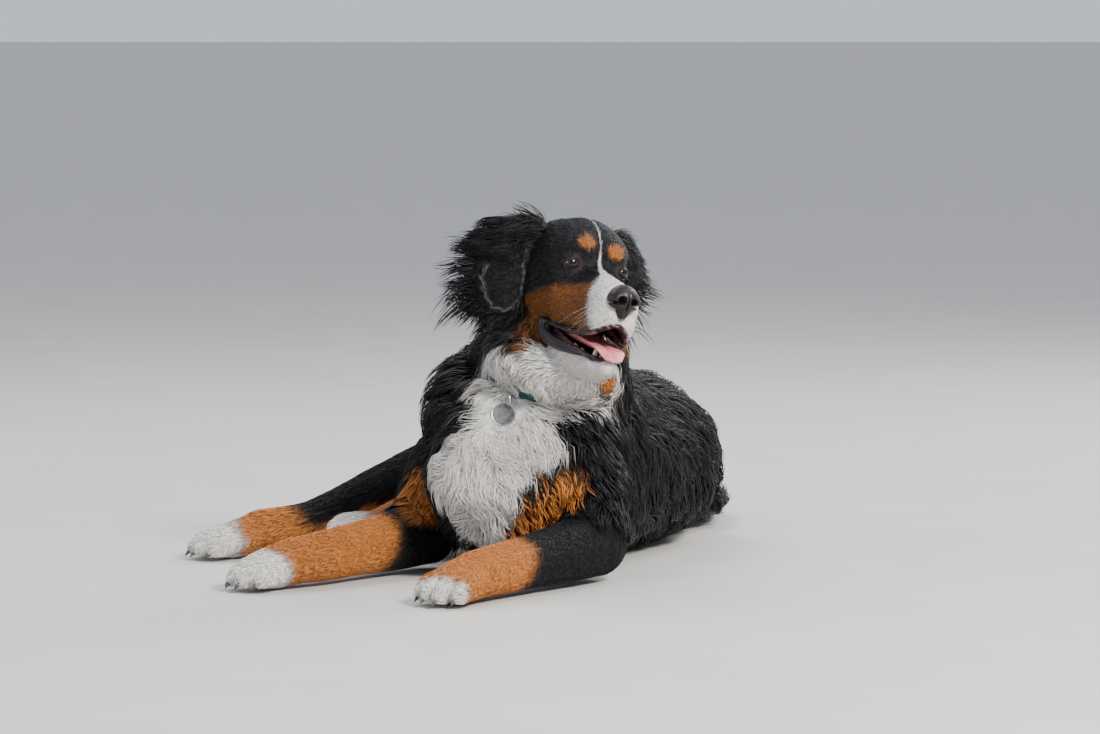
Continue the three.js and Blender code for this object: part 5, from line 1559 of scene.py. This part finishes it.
class DOG_OT_body_coat(bpy.types.Operator):
    """Grows the long hair of the trunk, ruff, thighs, upper arms and tail"""

    bl_idname = "dog.body_coat"
    bl_label = "Long coat"

    def execute(self, context):
        look = context.scene.dog_coat
        SKIN["coat"] = coat_finish()
        # Each piece's name, the parts it grows on, its tufts in thousands a square metre, and its seed.
        jobs = [
            ("coat_torso", ("torso",), 40, 1),
            ("coat_neck", ("neck",), 70, 2),
            ("coat_tail", ("tail",), 36, 3),
            ("coat_upper_arms", ("upper_arm_right", "upper_arm_left"), 60, 4),
            ("coat_thighs", ("thigh_right", "thigh_left"), 44, 5),
        ]
        for name, parts, dense, seed in jobs:
            ruff, by_collar = name == "coat_neck", name in ("coat_neck", "coat_torso")
            part, faces = PARTS[parts[0]], of_part(*parts)
            white = markings(SKIN["centre"][faces])[0]
            breast = smooth(0.0, -0.08, SKIN["centre"][faces][:, 1])
            dense = dense * look.fullness * (1 + (1.3 if ruff else 3.4) * white * breast + 0.3 * breast)
            tufts = Tufts(faces, dense, np.random.default_rng(SEED + seed), look)
            breast = smooth(0.0, -0.08, tufts.root[:, 1])
            pale, tan = (share * breast for share in markings(tufts.root))
            long = part.long * MM * look.length * (1 - 0.25 * breast - 0.15 * pale - 0.25 * tan)
            deep = np.broadcast_to(part.deep * MM, tufts.count)
            throat = np.zeros(tufts.count)
            if by_collar:
                above = (tufts.root - COLLAR_AT) @ COLLAR_AXIS
                throat = smooth(0.0, 0.01, above) * smooth(0.02, -0.02, tufts.root[:, 1])
                over = smooth(0.014, 0.002, tufts.root[:, 0]) * smooth(0.04, 0.02, above)
                long = long + ((36 + 12 * over) * MM * look.length - long) * throat
                deep = deep + ((14 + 8 * over) * MM - deep) * throat
                long, deep, mask = round_collar(tufts.root, long, deep)
                tufts.keep(mask)
                long, deep, breast, pale, throat = (v[mask] for v in (long, deep, breast, pale, throat))
            wide = part.wide * MM * (1 - 0.15 * breast) * (1 - 0.5 * np.maximum(pale, 0.8 * throat))
            deep = deep * (1 + 0.38 * wobble(tufts.root / MM, 56, 77) * (1 - throat))
            tufts.size(long, deep, wide, 0.35)
            soft = np.maximum(0.8 * pale, throat)
            tufts.comb(
                4, hang=0.3 - 0.2 * throat, wave=0.5 + 0.35 * soft, stray=0.14 + 0.2 * soft,
                swirl=0.4 + 0.8 * soft, curl=34 if ruff else 60, turns=7.5,
            )
            tufts.gather(7, 0.6, 0.012)
            tufts.gather(42, 0.72, 0.024, 1.2)
            if by_collar:
                clear_tag(tufts)
                tips = world_to_head(tufts.spine[-1])
                tufts.drop((head_distance(*tips.T) < 0) | over_mouth(tufts))
            tufts.write(name, seed)
        return {"FINISHED"}


# Short tufts have two rings, so they taper in two steps.
SHORT = {"most": SHORT_BATCH, "taper": (1, 0.8)}


class DOG_OT_short_coat(bpy.types.Operator):
    """Grows the short hair of the lower legs and paws"""

    bl_idname = "dog.short_coat"
    bl_label = "Short coat of the legs"

    def execute(self, context):
        look = context.scene.dog_coat
        jobs = [
            ("coat_forearms", ("forearm_right", "forearm_left"), 190, 11),
            ("coat_shanks", ("shank_right", "shank_left"), 150, 12),
            ("coat_paws", tuple(f"paw_{key}" for key in PAWS), 150, 13),
        ]
        for name, parts, dense, seed in jobs:
            part, faces = PARTS[parts[0]], of_part(*parts)
            dense = np.full(len(faces), dense * look.fullness)
            tufts = Tufts(faces, dense, np.random.default_rng(SEED + seed), look)
            tufts.size(part.long * MM * look.length, part.deep * MM, part.wide * MM, 0.3)
            tufts.comb(2, hang=0.1, wave=0.08, stray=0.07, swirl=0.14)
            tufts.gather(9, 0.3, 0.005)
            tufts.write(name, seed, vary=0.5, **SHORT)
        return {"FINISHED"}


class DOG_OT_head_coat(bpy.types.Operator):
    """Grows the short hair of the face and the long fringes of the ears"""

    bl_idname = "dog.head_coat"
    bl_label = "Coat of the head"

    def execute(self, context):
        look = context.scene.dog_coat
        self.face(look)
        for side, out in SIDES:
            self.ear(look, side, out)
        return {"FINISHED"}

    @staticmethod
    def face(look):
        faces = of_part("head")
        h = SKIN["head"][faces]
        front = smooth(-40, 20, h[:, 1])
        throat = smooth(-80, -110, h[:, 2]) * smooth(30, -20, h[:, 1])
        dense = (230 + 200 * front) * (1 - 0.5 * throat)
        tufts = Tufts(faces, dense * look.fullness, np.random.default_rng(SEED + 21), look)
        h = world_to_head(tufts.root)
        front, rear = smooth(-55, 25, h[:, 1]), smooth(-60, -95, h[:, 1])
        throat = smooth(-84, -116, h[:, 2]) * smooth(40, -20, h[:, 1])
        near_eye = smooth(26, 15, from_eye(h))
        long = (15 - 8 * front + 16 * rear + 16 * throat) * (1 - 0.5 * near_eye)
        long = long * (1 - 0.55 * smooth(8, 26, h[:, 0]) * smooth(-76, -98, h[:, 2]))
        deep = (2.6 - 1.4 * front + 5 * rear + 5 * throat) * (1 - 0.4 * near_eye)
        tufts.size(long * MM * look.length, deep * MM, (1.5 - 0.6 * front + 1.2 * throat + rear) * MM, 0.3)
        tufts.comb(2, wave=0.1, stray=0.16, swirl=0.15)
        tufts.gather(8, 0.35, 0.006)
        tufts.drop(over_mouth(tufts))
        tufts.write("coat_head", 21, **SHORT)

    @staticmethod
    def ear(look, side, out):
        faces = of_part(f"ear_{side}")
        dense = np.full(len(faces), 330 * look.fullness)
        tufts = Tufts(faces, dense, np.random.default_rng(SEED + 30 + out), look)
        h = world_to_head(tufts.root)
        rear = smooth(0.15, -0.35, tufts.normal @ unit(head_direction(0.49 * out, 0.87, 0.12)))
        high, low = smooth(-16, 16, h[:, 2]), smooth(-5, -50, h[:, 2])
        gap, way = ear_rim(h, out)
        rim = smooth(7, 3, gap)
        edge = np.maximum(rear, high * smooth(-0.9, 0.3, ear_across(h, out))) * (1 - rim)
        tufts.flow = unit(tufts.flow + (way - tufts.flow) * rim[:, None])
        long = 8 + 36 * edge + 30 * rear * low * (1 - rim) * (1 if out < 0 else 0.3)
        deep = 2 + 12 * edge + 2.5 * rim
        tufts.size(long * MM * look.length, deep * MM, (1.0 + 0.7 * edge) * MM, 0.4)
        aside, hanging = head_direction(0.95 * out, -0.4, 0.08), head_direction(0.1 * out, 0, -1.2)
        blown = aside * (1 - low[:, None]) + hanging * low[:, None]
        tufts.comb(
            4, hang=0.2, wave=0.15 + 0.3 * edge, stray=0.2, swirl=0.35, curl=40,
            pull=blown * edge[:, None] * 0.9, turns=7,
        )
        tufts.gather(7, 0.3 + 0.35 * edge, 0.010)
        tufts.gather(34, 0.1 + 0.62 * edge, 0.020, 1.3)
        tufts.write(f"coat_ear_{side}", 31 + out)
        return {"FINISHED"}


class DOG_OT_eyes(bpy.types.Operator):
    """Turns the eyeballs with their bulging corneas and folds the lids round them"""

    bl_idname = "dog.eyes"
    bl_label = "Eyes and lids"

    def execute(self, context):
        look = context.scene.dog_face
        iris = self.eye_finish(look)
        tones = ((0.005, 0.0045, 0.005), (0.012, 0.009, 0.010))
        lid = bare_finish("eyelid", tones, 1500, 260, 0.5, 0.0003, specular_ior_level=0.2)
        up = head_direction(0, 0, 1)
        for side, out in SIDES:
            eye = eye_frame(out)
            place = turn_matrix(eye[0], head_direction(0.30 * out, 0.95, 0.06), up)
            self.eyeball(f"eye_{side}_ball", look.eye_radius, place, iris, f"eye_{side}")
            self.lids(f"eyelids_{side}", look.eye_radius, eye, lid)
        return {"FINISHED"}

    @staticmethod
    def eye_finish(look):
        """Rings round the front of the ball: pupil, iris with its dark edge, then the white."""
        f = Finish("eye", roughness=0.12, coat_weight=0.55, coat_roughness=0.02, specular_ior_level=0.15)
        place = f.place("rings")
        parts = f.node("ShaderNodeSeparateXYZ", {"Vector": place})
        fibres = f.node("ShaderNodeTexNoise", {"Vector": place, "Scale": 38.0, "Detail": 3.0})
        stops = [
            (0.0, 0.001), (0.13, 0.001), (0.15, rgb(look.iris, 0.5)), (0.23, rgb(look.iris)),
            (0.29, rgb(look.iris, 0.25)), (0.33, (0.03, 0.016, 0.014)), (0.5, (0.26, 0.12, 0.10)),
        ]
        ring = f.ramp(parts.outputs["X"], stops)
        shade = f.ramp(fibres.outputs["Fac"], [(0.35, 0.7), (0.65, 1.3)])
        f.feed("Base Color", multiply(f.tree, ring, shade))
        return f.material

    @staticmethod
    def eyeball(name, radius, place, material, node):
        """A ball whose front bulges out to the cornea; its rings run outward from the pupil."""
        sphere = bpy.ops.mesh.primitive_uv_sphere_add
        ball = primitive(sphere, name, segments=48, ring_count=32, radius=radius)
        select_where(ball.data.vertices, lambda v: v.co.z > radius * 0.86)
        with editing():
            bpy.ops.transform.translate(
                value=(0, 0, radius * 0.07), use_proportional_edit=True, proportional_edit_falloff="SMOOTH",
                proportional_size=radius * 0.35,
            )
        mesh = ball.data
        co = corner_places(mesh)
        angle = np.arccos(np.clip(unit(co)[:, 2], -1, 1)) / math.pi
        turn = np.arctan2(co[:, 1], co[:, 0]) / math.pi
        uv_of_loops(mesh, "rings", np.stack([angle, turn], axis=1))
        bpy.ops.object.shade_smooth()
        mesh.materials.append(material)
        settle(ball, place, "eye", node)

    @staticmethod
    def lids(name, radius, place, material):
        """The lids' dark bare rims: a shell over the eyeball with an almond-shaped slit."""
        centre, ahead, outer, upper = place
        count = 64
        phi = np.arange(count) * 2 * math.pi / count
        slant = math.radians(-5)
        c, s = np.cos(phi), np.sin(phi)
        # The slit in degrees from its middle: above and below, and to the outer and the inner corner.
        high = np.where(s > 0, 17.0, 13.0)
        wide = np.where(c > 0, 43.0, 50.0)
        edge = np.radians(1 / np.sqrt((c / wide) ** 2 + (s / high) ** 2))
        edge = edge * (1 + 0.12 * np.abs(c) ** 8)
        # Rings of the shell: degrees outside the slit's edge, and distance as a share of the ball's radius.
        rows = [
            (-8, 0.98), (-2.5, 1.0), (-0.5, 1.05), (1.5, 1.10), (5, 1.135), (10, 1.14), (16, 1.11), (24, 1.0),
        ]
        points = []
        for add, reach in rows:
            theta = np.minimum(edge + math.radians(add), math.radians(104))
            around = outer[None] * np.cos(phi + slant)[:, None] + upper[None] * np.sin(phi + slant)[:, None]
            ray = ahead[None] * np.cos(theta)[:, None] + around * np.sin(theta)[:, None]
            folds = 0.012 * np.sin(phi * 5 + 1.3) * (add > 4)
            points.append(centre + ray * radius * (reach + folds)[:, None])
        points = np.concatenate(points)
        faces = []
        for i in range(len(rows) - 1):
            for k in range(count):
                a, b = i * count + k, i * count + (k + 1) % count
                faces.append((a, b, b + count, a + count))
        piece = new_piece(name, points, faces, "nose_leather", material)
        finish_modifier(piece, "SOLIDIFY", "wall", thickness=0.0006, offset=-1)
        finish_modifier(piece, "SUBSURF", "round", levels=1, render_levels=1)
        outward(piece)


class DOG_OT_nose(bpy.types.Operator):
    """Shapes the nose leather with its two comma-shaped nostrils"""

    bl_idname = "dog.nose"
    bl_label = "Nose"

    def execute(self, context):
        look = context.scene.dog_face
        step = 0.8
        lines = [np.arange(-27, 27, step), np.arange(66, 116, step), np.arange(-66, -12, step)]
        x, f, z = np.meshgrid(*lines, indexing="ij")

        def oval_at(centre, size):
            r = np.sqrt(sum(((v - c) / s) ** 2 for v, c, s in zip((x, f, z), centre, size)))
            return (r - 1) * min(size)

        pad = oval_at((0, 88, -36), (20.5, 15, 16.2))
        pad = melt(pad, oval_at((0, 95, -41), (16, 11, 15)), 5)
        for out in (-1, 1):
            pad = melt(pad, oval_at((12.5 * out, 90, -41), (10.5, 12.5, 10.5)), 3.5)
        pad = melt(pad, oval_at((0, 92, -55), (8.5, 9, 10)), 5)
        for out in (-1, 1):
            hole = oval_at((8.6 * out, 103, -41.5), (5.3, 11, 5.2))
            hole = melt(hole, oval_at((14.5 * out, 97, -45.5), (7.0, 9, 2.0)), 1.6)
            hole = melt(hole, oval_at((20 * out, 92, -45.5), (5.5, 7, 1.1)), 1.2)
            pad = -melt(-pad, hole, 1.6)
        groove = oval_at((0, 108, -52), (0.7, 8, 15))
        pad = -melt(-pad, groove, 1.8)
        points, quads = zero_surface(pad.astype(np.float32), 20.0)
        points = points * step + [line[0] for line in lines]
        leather = bare_finish(
            "nose leather", (rgb(look.nose), rgb(look.nose, 2.2)), 620, 130, 0.42, 0.0006, coat_weight=0.1,
            coat_roughness=0.25, specular_ior_level=0.22,
        )
        nose = new_piece("nose_pad", head_to_world(points), quads, "nose_leather", leather)
        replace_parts(nose, "nose")
        finish_modifier(nose, "SMOOTH", "even", factor=0.5, iterations=3)
        outward(nose)
        return {"FINISHED"}


class DOG_OT_mouth(bpy.types.Operator):
    """Adds the teeth and the tongue that the open mouth shows"""

    bl_idname = "dog.mouth"
    bl_label = "Teeth and tongue"

    def execute(self, context):
        self.teeth()
        self.tongue(context.scene.dog_face)
        return {"FINISHED"}

    @staticmethod
    def teeth():
        enamel = bare_finish("tooth", ((0.62, 0.55, 0.42), (0.78, 0.73, 0.62)), 500, 120, 0.22, 0.0001)
        # Each tooth's base as (x, forward, up), the lean of its tip out and forward, its height and radius.
        rows = [
            (13, 70, -60, 0, 4, -15, 3.6), (16, 36, -60, 1, 0, -9, 4.6), (19, 22, -58, 1, 0, -10, 5.8),
            (21, 6, -58, 1, 0, -9, 5.4), (2.8, 80, -60, 0, 2, -6, 2.4), (7.6, 78, -60, 0, 2, -7, 2.8),
            (12, 60, -118, 1, 3, 14, 3.2), (16, 30, -112, 0, 0, 4, 3.8), (18, 12, -107, 0, 0, 4, 5.0),
            (2.6, 69, -120, 0, 1, 6, 2.1), (7.0, 67, -120, 0, 1, 6.5, 2.3),
        ]
        shapes = []
        for out in (-1, 1):
            for x, f, z, lean_x, lean_f, tall, r in rows:
                base, tip = np.array([x * out, f, z]), np.array([(x + lean_x) * out, f + lean_f, z + tall])
                stations = []
                for t in (0, 0.3, 0.6, 0.85, 0.98):
                    p = base + (tip - base) * t + np.array([0, 1.5 * math.sin(math.pi * t) * (lean_f > 3), 0])
                    stations.append([*p, r * (1 - t**1.6) + 0.3, r * 0.85 * (1 - t**1.6) + 0.3])
                shapes.append(sweep(stations, up=(0, 1, 0), sides=12, per=3))
        outward(new_piece("teeth", *joined(shapes), "white_coat", enamel))

    @staticmethod
    def tongue(look):
        tones = (rgb(look.tongue, 0.8), rgb(look.tongue, 1.12))
        flesh = bare_finish("tongue", tones, 1300, 45, 0.3, 0.0007, coat_weight=0.25, coat_roughness=0.3)

        def shape(ring, share, angle, side, top, w, h):
            across = np.cos(angle)
            dent = np.exp(-((across / 0.2) ** 2)) * h * 0.7 * smooth(0.05, 0.3, share) * (np.sin(angle) > 0)
            edge = np.abs(across) ** 3 * h * 0.55
            return ring + np.outer(edge - dent, top)

        points, faces = sweep(TONGUE_ROWS, sides=36, per=8, dome=1.2, shape=shape)
        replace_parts(outward(new_piece("tongue_flesh", points, faces, "tongue", flesh)), "tongue")


class DOG_OT_claws(bpy.types.Operator):
    """Adds the claws of all four paws"""

    bl_idname = "dog.claws"
    bl_label = "Claws"

    def execute(self, context):
        horn = bare_finish("claw horn", ((0.03, 0.024, 0.02), (0.13, 0.10, 0.08)), 300, 180, 0.4, 0.0002)
        claws = [claw for _, _, claws in PAWS.values() for claw in claws]
        points, faces = joined([sweep(claw, sides=10, on_head=False) for claw in claws])
        points[:, 2] = np.maximum(points[:, 2], 0.0003)
        outward(new_piece("claws", points, faces, "nose_leather", horn))
        return {"FINISHED"}


class DOG_OT_whiskers(bpy.types.Operator):
    """Adds the whiskers of the muzzle"""

    bl_idname = "dog.whiskers"
    bl_label = "Whiskers"

    def execute(self, context):
        f = Finish("whisker", roughness=0.35)
        noise = f.node("ShaderNodeTexNoise", {"Vector": f.place(), "Scale": 120.0})
        tones = [(0.3, (0.5, 0.48, 0.45)), (0.7, (0.85, 0.83, 0.8))]
        f.feed("Base Color", f.ramp(noise.outputs["Fac"], tones))
        rng = np.random.default_rng(SEED + 50)
        shapes = []
        for out in (-1, 1):
            for row in range(3 if out < 0 else 4):
                for k in range(2 if out < 0 else 4):
                    root = np.array([(25 + 1.5 * k) * out, 72 - 11 * k + 3 * row, -52 - 7 * row])
                    long = rng.uniform(24, 44)
                    way = unit(np.array([out * 1.0, 0.15 - 0.35 * rng.random(), -0.25 - 0.3 * rng.random()]))
                    rows = []
                    for t in (0, 0.35, 0.7, 1.0):
                        p = root + way * long * t + np.array([0, -7, -16]) * t * t
                        rows.append([*p, 0.09 * (1 - t) + 0.03, 0.09 * (1 - t) + 0.03])
                    shapes.append(sweep(rows, sides=4, per=3))
        outward(new_piece("whiskers", *joined(shapes), "white_coat", f.material))
        return {"FINISHED"}


class DOG_OT_collar(bpy.types.Operator):
    """Makes the woven collar with its ring and its bare round tag"""

    bl_idname = "dog.collar"
    bl_label = "Collar"

    def execute(self, context):
        look = context.scene.dog_collar
        # The tag's faces are the same bare steel as its rim, made darker as painted shade.
        tones, dull = ((0.30, 0.30, 0.31), (0.66, 0.66, 0.67)), ((0.07, 0.07, 0.075), (0.17, 0.17, 0.175))
        steel = metal_finish("worn steel", tones, 1800.0, 320.0, (0.2, 0.42))
        self.band(look, self.webbing(look))
        self.ring(steel)
        self.tag(look, steel, metal_finish("dull tag face", dull, 2600.0, 210.0, (0.5, 0.65)))
        return {"FINISHED"}

    @staticmethod
    def webbing(look):
        f = Finish("webbing", roughness=0.8, sheen_weight=0.2)
        inputs = {"Vector": f.place("weave"), "Scale": 55.0, "Distortion": 0.3}
        warp, weft = (
            f.node("ShaderNodeTexWave", inputs, wave_type="BANDS", bands_direction=way).outputs["Fac"]
            for way in ("X", "Y")
        )
        both = f.node("ShaderNodeMath", {0: warp, 1: weft}, operation="MULTIPLY").outputs[0]
        f.feed("Base Color", f.ramp(both, [(0, rgb(look.webbing, 0.45)), (0.7, rgb(look.webbing, 1.5))]))
        f.feed("Roughness", f.ramp(both, [(0, 0.9), (1, 0.65)]))
        f.bump(both, 0.8, 0.0006)
        return f.material

    @staticmethod
    def band(look, material):
        band = primitive(
            bpy.ops.mesh.primitive_cylinder_add, "collar_band", vertices=128, radius=COLLAR_RADIUS,
            depth=look.width, end_fill_type="NOTHING",
        )
        with editing("SELECT"):
            bpy.ops.mesh.subdivide(number_cuts=1)
        mesh = band.data
        co = corner_places(mesh)
        if len(co) != 4 * len(mesh.polygons):
            raise RuntimeError("the collar's band is not all four-sided faces")
        turn = np.arctan2(co[:, 1], co[:, 0]).reshape(-1, 4)
        turn = np.where(turn < turn.max(axis=1, keepdims=True) - math.pi, turn + 2 * math.pi, turn).ravel()
        uv_of_loops(mesh, "weave", np.stack([turn * COLLAR_RADIUS * 10, co[:, 2] * 10], axis=1))
        finish_modifier(band, "SOLIDIFY", "wall", thickness=look.thick, offset=1)
        finish_modifier(band, "BEVEL", "soft edge", width=0.0008, segments=2, limit_method="ANGLE")
        mesh.materials.append(material)
        bpy.ops.object.shade_smooth()
        settle(band, turn_matrix(COLLAR_AT, COLLAR_LEAN, (0, 1, 0)), "collar_webbing", "collar")

    @staticmethod
    def ring(material):
        """A torus, pressed flat on one side to the shape of a D."""
        ring = primitive(
            bpy.ops.mesh.primitive_torus_add, "collar_d_ring", major_radius=0.010, minor_radius=0.0015,
            major_segments=48, minor_segments=14,
        )
        flat = 0.0068
        select_where(ring.data.vertices, lambda v: v.co.y > flat)
        with editing():
            bpy.ops.transform.resize(value=(1, 0.35, 1), center_override=(0, flat, 0))
        ring.data.materials.append(material)
        bpy.ops.object.shade_smooth()
        place = turn_matrix(box_middle("collar_ring"), (0.85, 0.4, 0.1), (0, 0, 1))
        settle(ring, place, "steel", "collar_ring")

    @staticmethod
    def tag(look, material, dull):
        """A disc with worn edges whose two faces are sunk, dull, and darker than the rim as painted shade."""
        cylinder = bpy.ops.mesh.primitive_cylinder_add
        tag = primitive(cylinder, "round_tag", vertices=64, radius=look.tag_radius, depth=0.002)
        with editing():
            bpy.ops.mesh.select_mode(type="FACE")
        select_where(tag.data.polygons, lambda face: abs(face.normal.z) > 0.9)
        with editing():
            bpy.ops.mesh.inset(thickness=0.0014, depth=-0.0005, use_individual=True)
        finish_modifier(tag, "BEVEL", "worn edge", width=0.0003, segments=3, limit_method="ANGLE")
        tag.data.materials.append(material)
        tag.data.materials.append(dull)
        for face in tag.data.polygons:
            spread = max(tag.data.vertices[v].co.xy.length for v in face.vertices)
            face.material_index = int(abs(face.normal.z) > 0.9 and spread < look.tag_radius - 0.001)
        bpy.ops.object.shade_smooth_by_angle(angle=math.radians(35))
        settle(tag, turn_matrix(box_middle("tag"), TAG_FACING, (0, 0, 1)), "steel", "tag")


# Each lamp's name, place in metres, size in metres, power in watts and colour.
LAMPS = [
    ("key lamp", (3.2, -1.6, 2.8), 0.9, 330, (1.0, 0.95, 0.88)),
    ("fill lamp", (-2.8, -2.6, 1.6), 2.2, 40, (0.9, 0.95, 1.0)),
    ("rim lamp", (1.2, 3.2, 2.4), 1.4, 110, (1.0, 0.97, 0.93)),
    ("top lamp", (-1.6, 1.2, 3.0), 1.6, 60, (0.92, 0.96, 1.0)),
]
LAMPS_AIM = Vector((0, 0.1, 0.2))
SKY, SKY_LIGHT = (0.86, 0.91, 1.0, 1), 0.8
# The camera's sensor and lens in millimetres, and how far its view turns right and down, as slopes.
SENSOR, LENS, AIM_RIGHT, AIM_DOWN = 36, 147.6, 0.00488, 0.0796


class DOG_OT_stage(bpy.types.Operator):
    """Lays the pale floor, hangs the soft lamps and sets the camera"""

    bl_idname = "dog.stage"
    bl_label = "Stage"

    def execute(self, context):
        look = context.scene.dog_stage
        floor = primitive(bpy.ops.mesh.primitive_plane_add, "floor", (0, 0, -0.0004), size=900)
        f = Finish("studio floor", roughness=0.6)
        noise = f.node("ShaderNodeTexNoise", {"Vector": f.place(), "Scale": 6.0, "Detail": 5.0})
        tones = [(0.3, rgb(look.floor, 0.97)), (0.7, rgb(look.floor, 1.03))]
        f.feed("Base Color", f.ramp(noise.outputs["Fac"], tones))
        floor.data.materials.append(f.material)
        world = context.scene.world or bpy.data.worlds.new("studio")
        context.scene.world = world
        world.use_nodes = True
        back = next(n for n in world.node_tree.nodes if n.type == "BACKGROUND")
        back.inputs["Color"].default_value = SKY
        back.inputs["Strength"].default_value = SKY_LIGHT
        for name, at, size, power, colour in LAMPS:
            data = bpy.data.lights.new(name, "AREA")
            data.size, data.energy, data.color = size, power * look.light, colour
            lamp = bpy.data.objects.new(name, data)
            context.scene.collection.objects.link(lamp)
            lamp.location = at
            lamp.rotation_euler = (LAMPS_AIM - Vector(at)).to_track_quat("-Z", "Y").to_euler()
        self.camera(context)
        return {"FINISHED"}

    @staticmethod
    def camera(context):
        """Looks level towards the dog, a little to the right and down, through a long lens."""
        data = bpy.data.cameras.new("camera")
        data.sensor_width, data.lens = SENSOR, LENS
        data.clip_end = 100
        camera = bpy.data.objects.new("camera", data)
        context.scene.collection.objects.link(camera)
        camera.location = CAMERA_AT
        c, s = math.cos(CAMERA_TURN), math.sin(CAMERA_TURN)
        aim = Vector((-s, c, 0)) + Vector((c, s, 0)) * AIM_RIGHT
        aim.z = -AIM_DOWN
        camera.rotation_euler = aim.to_track_quat("-Z", "Y").to_euler()
        context.scene.camera = camera


STEPS = (
    "skin", "body_coat", "short_coat", "head_coat", "eyes", "nose", "mouth", "claws", "whiskers", "collar",
    "stage",
)


class DOG_PT_panel(bpy.types.Panel):
    """Lists the dog's pieces in the order they are made"""

    bl_idname = "DOG_PT_panel"
    bl_label = "Dog"
    bl_space_type = "VIEW_3D"
    bl_region_type = "UI"
    bl_category = "Dog"

    def draw(self, context):
        scene = context.scene
        for group in (scene.dog_coat, scene.dog_face, scene.dog_collar, scene.dog_stage):
            box = self.layout.box()
            for key in group.bl_rna.properties.keys():
                if key not in ("rna_type", "name"):
                    box.prop(group, key)
        for step in STEPS:
            self.layout.operator(f"dog.{step}")


GROUPS = {"dog_coat": CoatLook, "dog_face": FaceLook, "dog_collar": CollarLook, "dog_stage": StageLook}
OPERATORS = (
    DOG_OT_skin, DOG_OT_body_coat, DOG_OT_short_coat, DOG_OT_head_coat, DOG_OT_eyes, DOG_OT_nose,
    DOG_OT_mouth, DOG_OT_claws, DOG_OT_whiskers, DOG_OT_collar, DOG_OT_stage,
)


def register():
    for kind in (*GROUPS.values(), *OPERATORS, DOG_PT_panel):
        bpy.utils.register_class(kind)
    for name, kind in GROUPS.items():
        setattr(bpy.types.Scene, name, bpy.props.PointerProperty(type=kind))


def unregister():
    for name in GROUPS:
        delattr(bpy.types.Scene, name)
    for kind in reversed((*GROUPS.values(), *OPERATORS, DOG_PT_panel)):
        bpy.utils.unregister_class(kind)


def main():
    register()
    for step in STEPS:
        if getattr(bpy.ops.dog, step)() != {"FINISHED"}:
            raise RuntimeError(f"the step {step} did not finish")


if __name__ == "__main__":
    main()
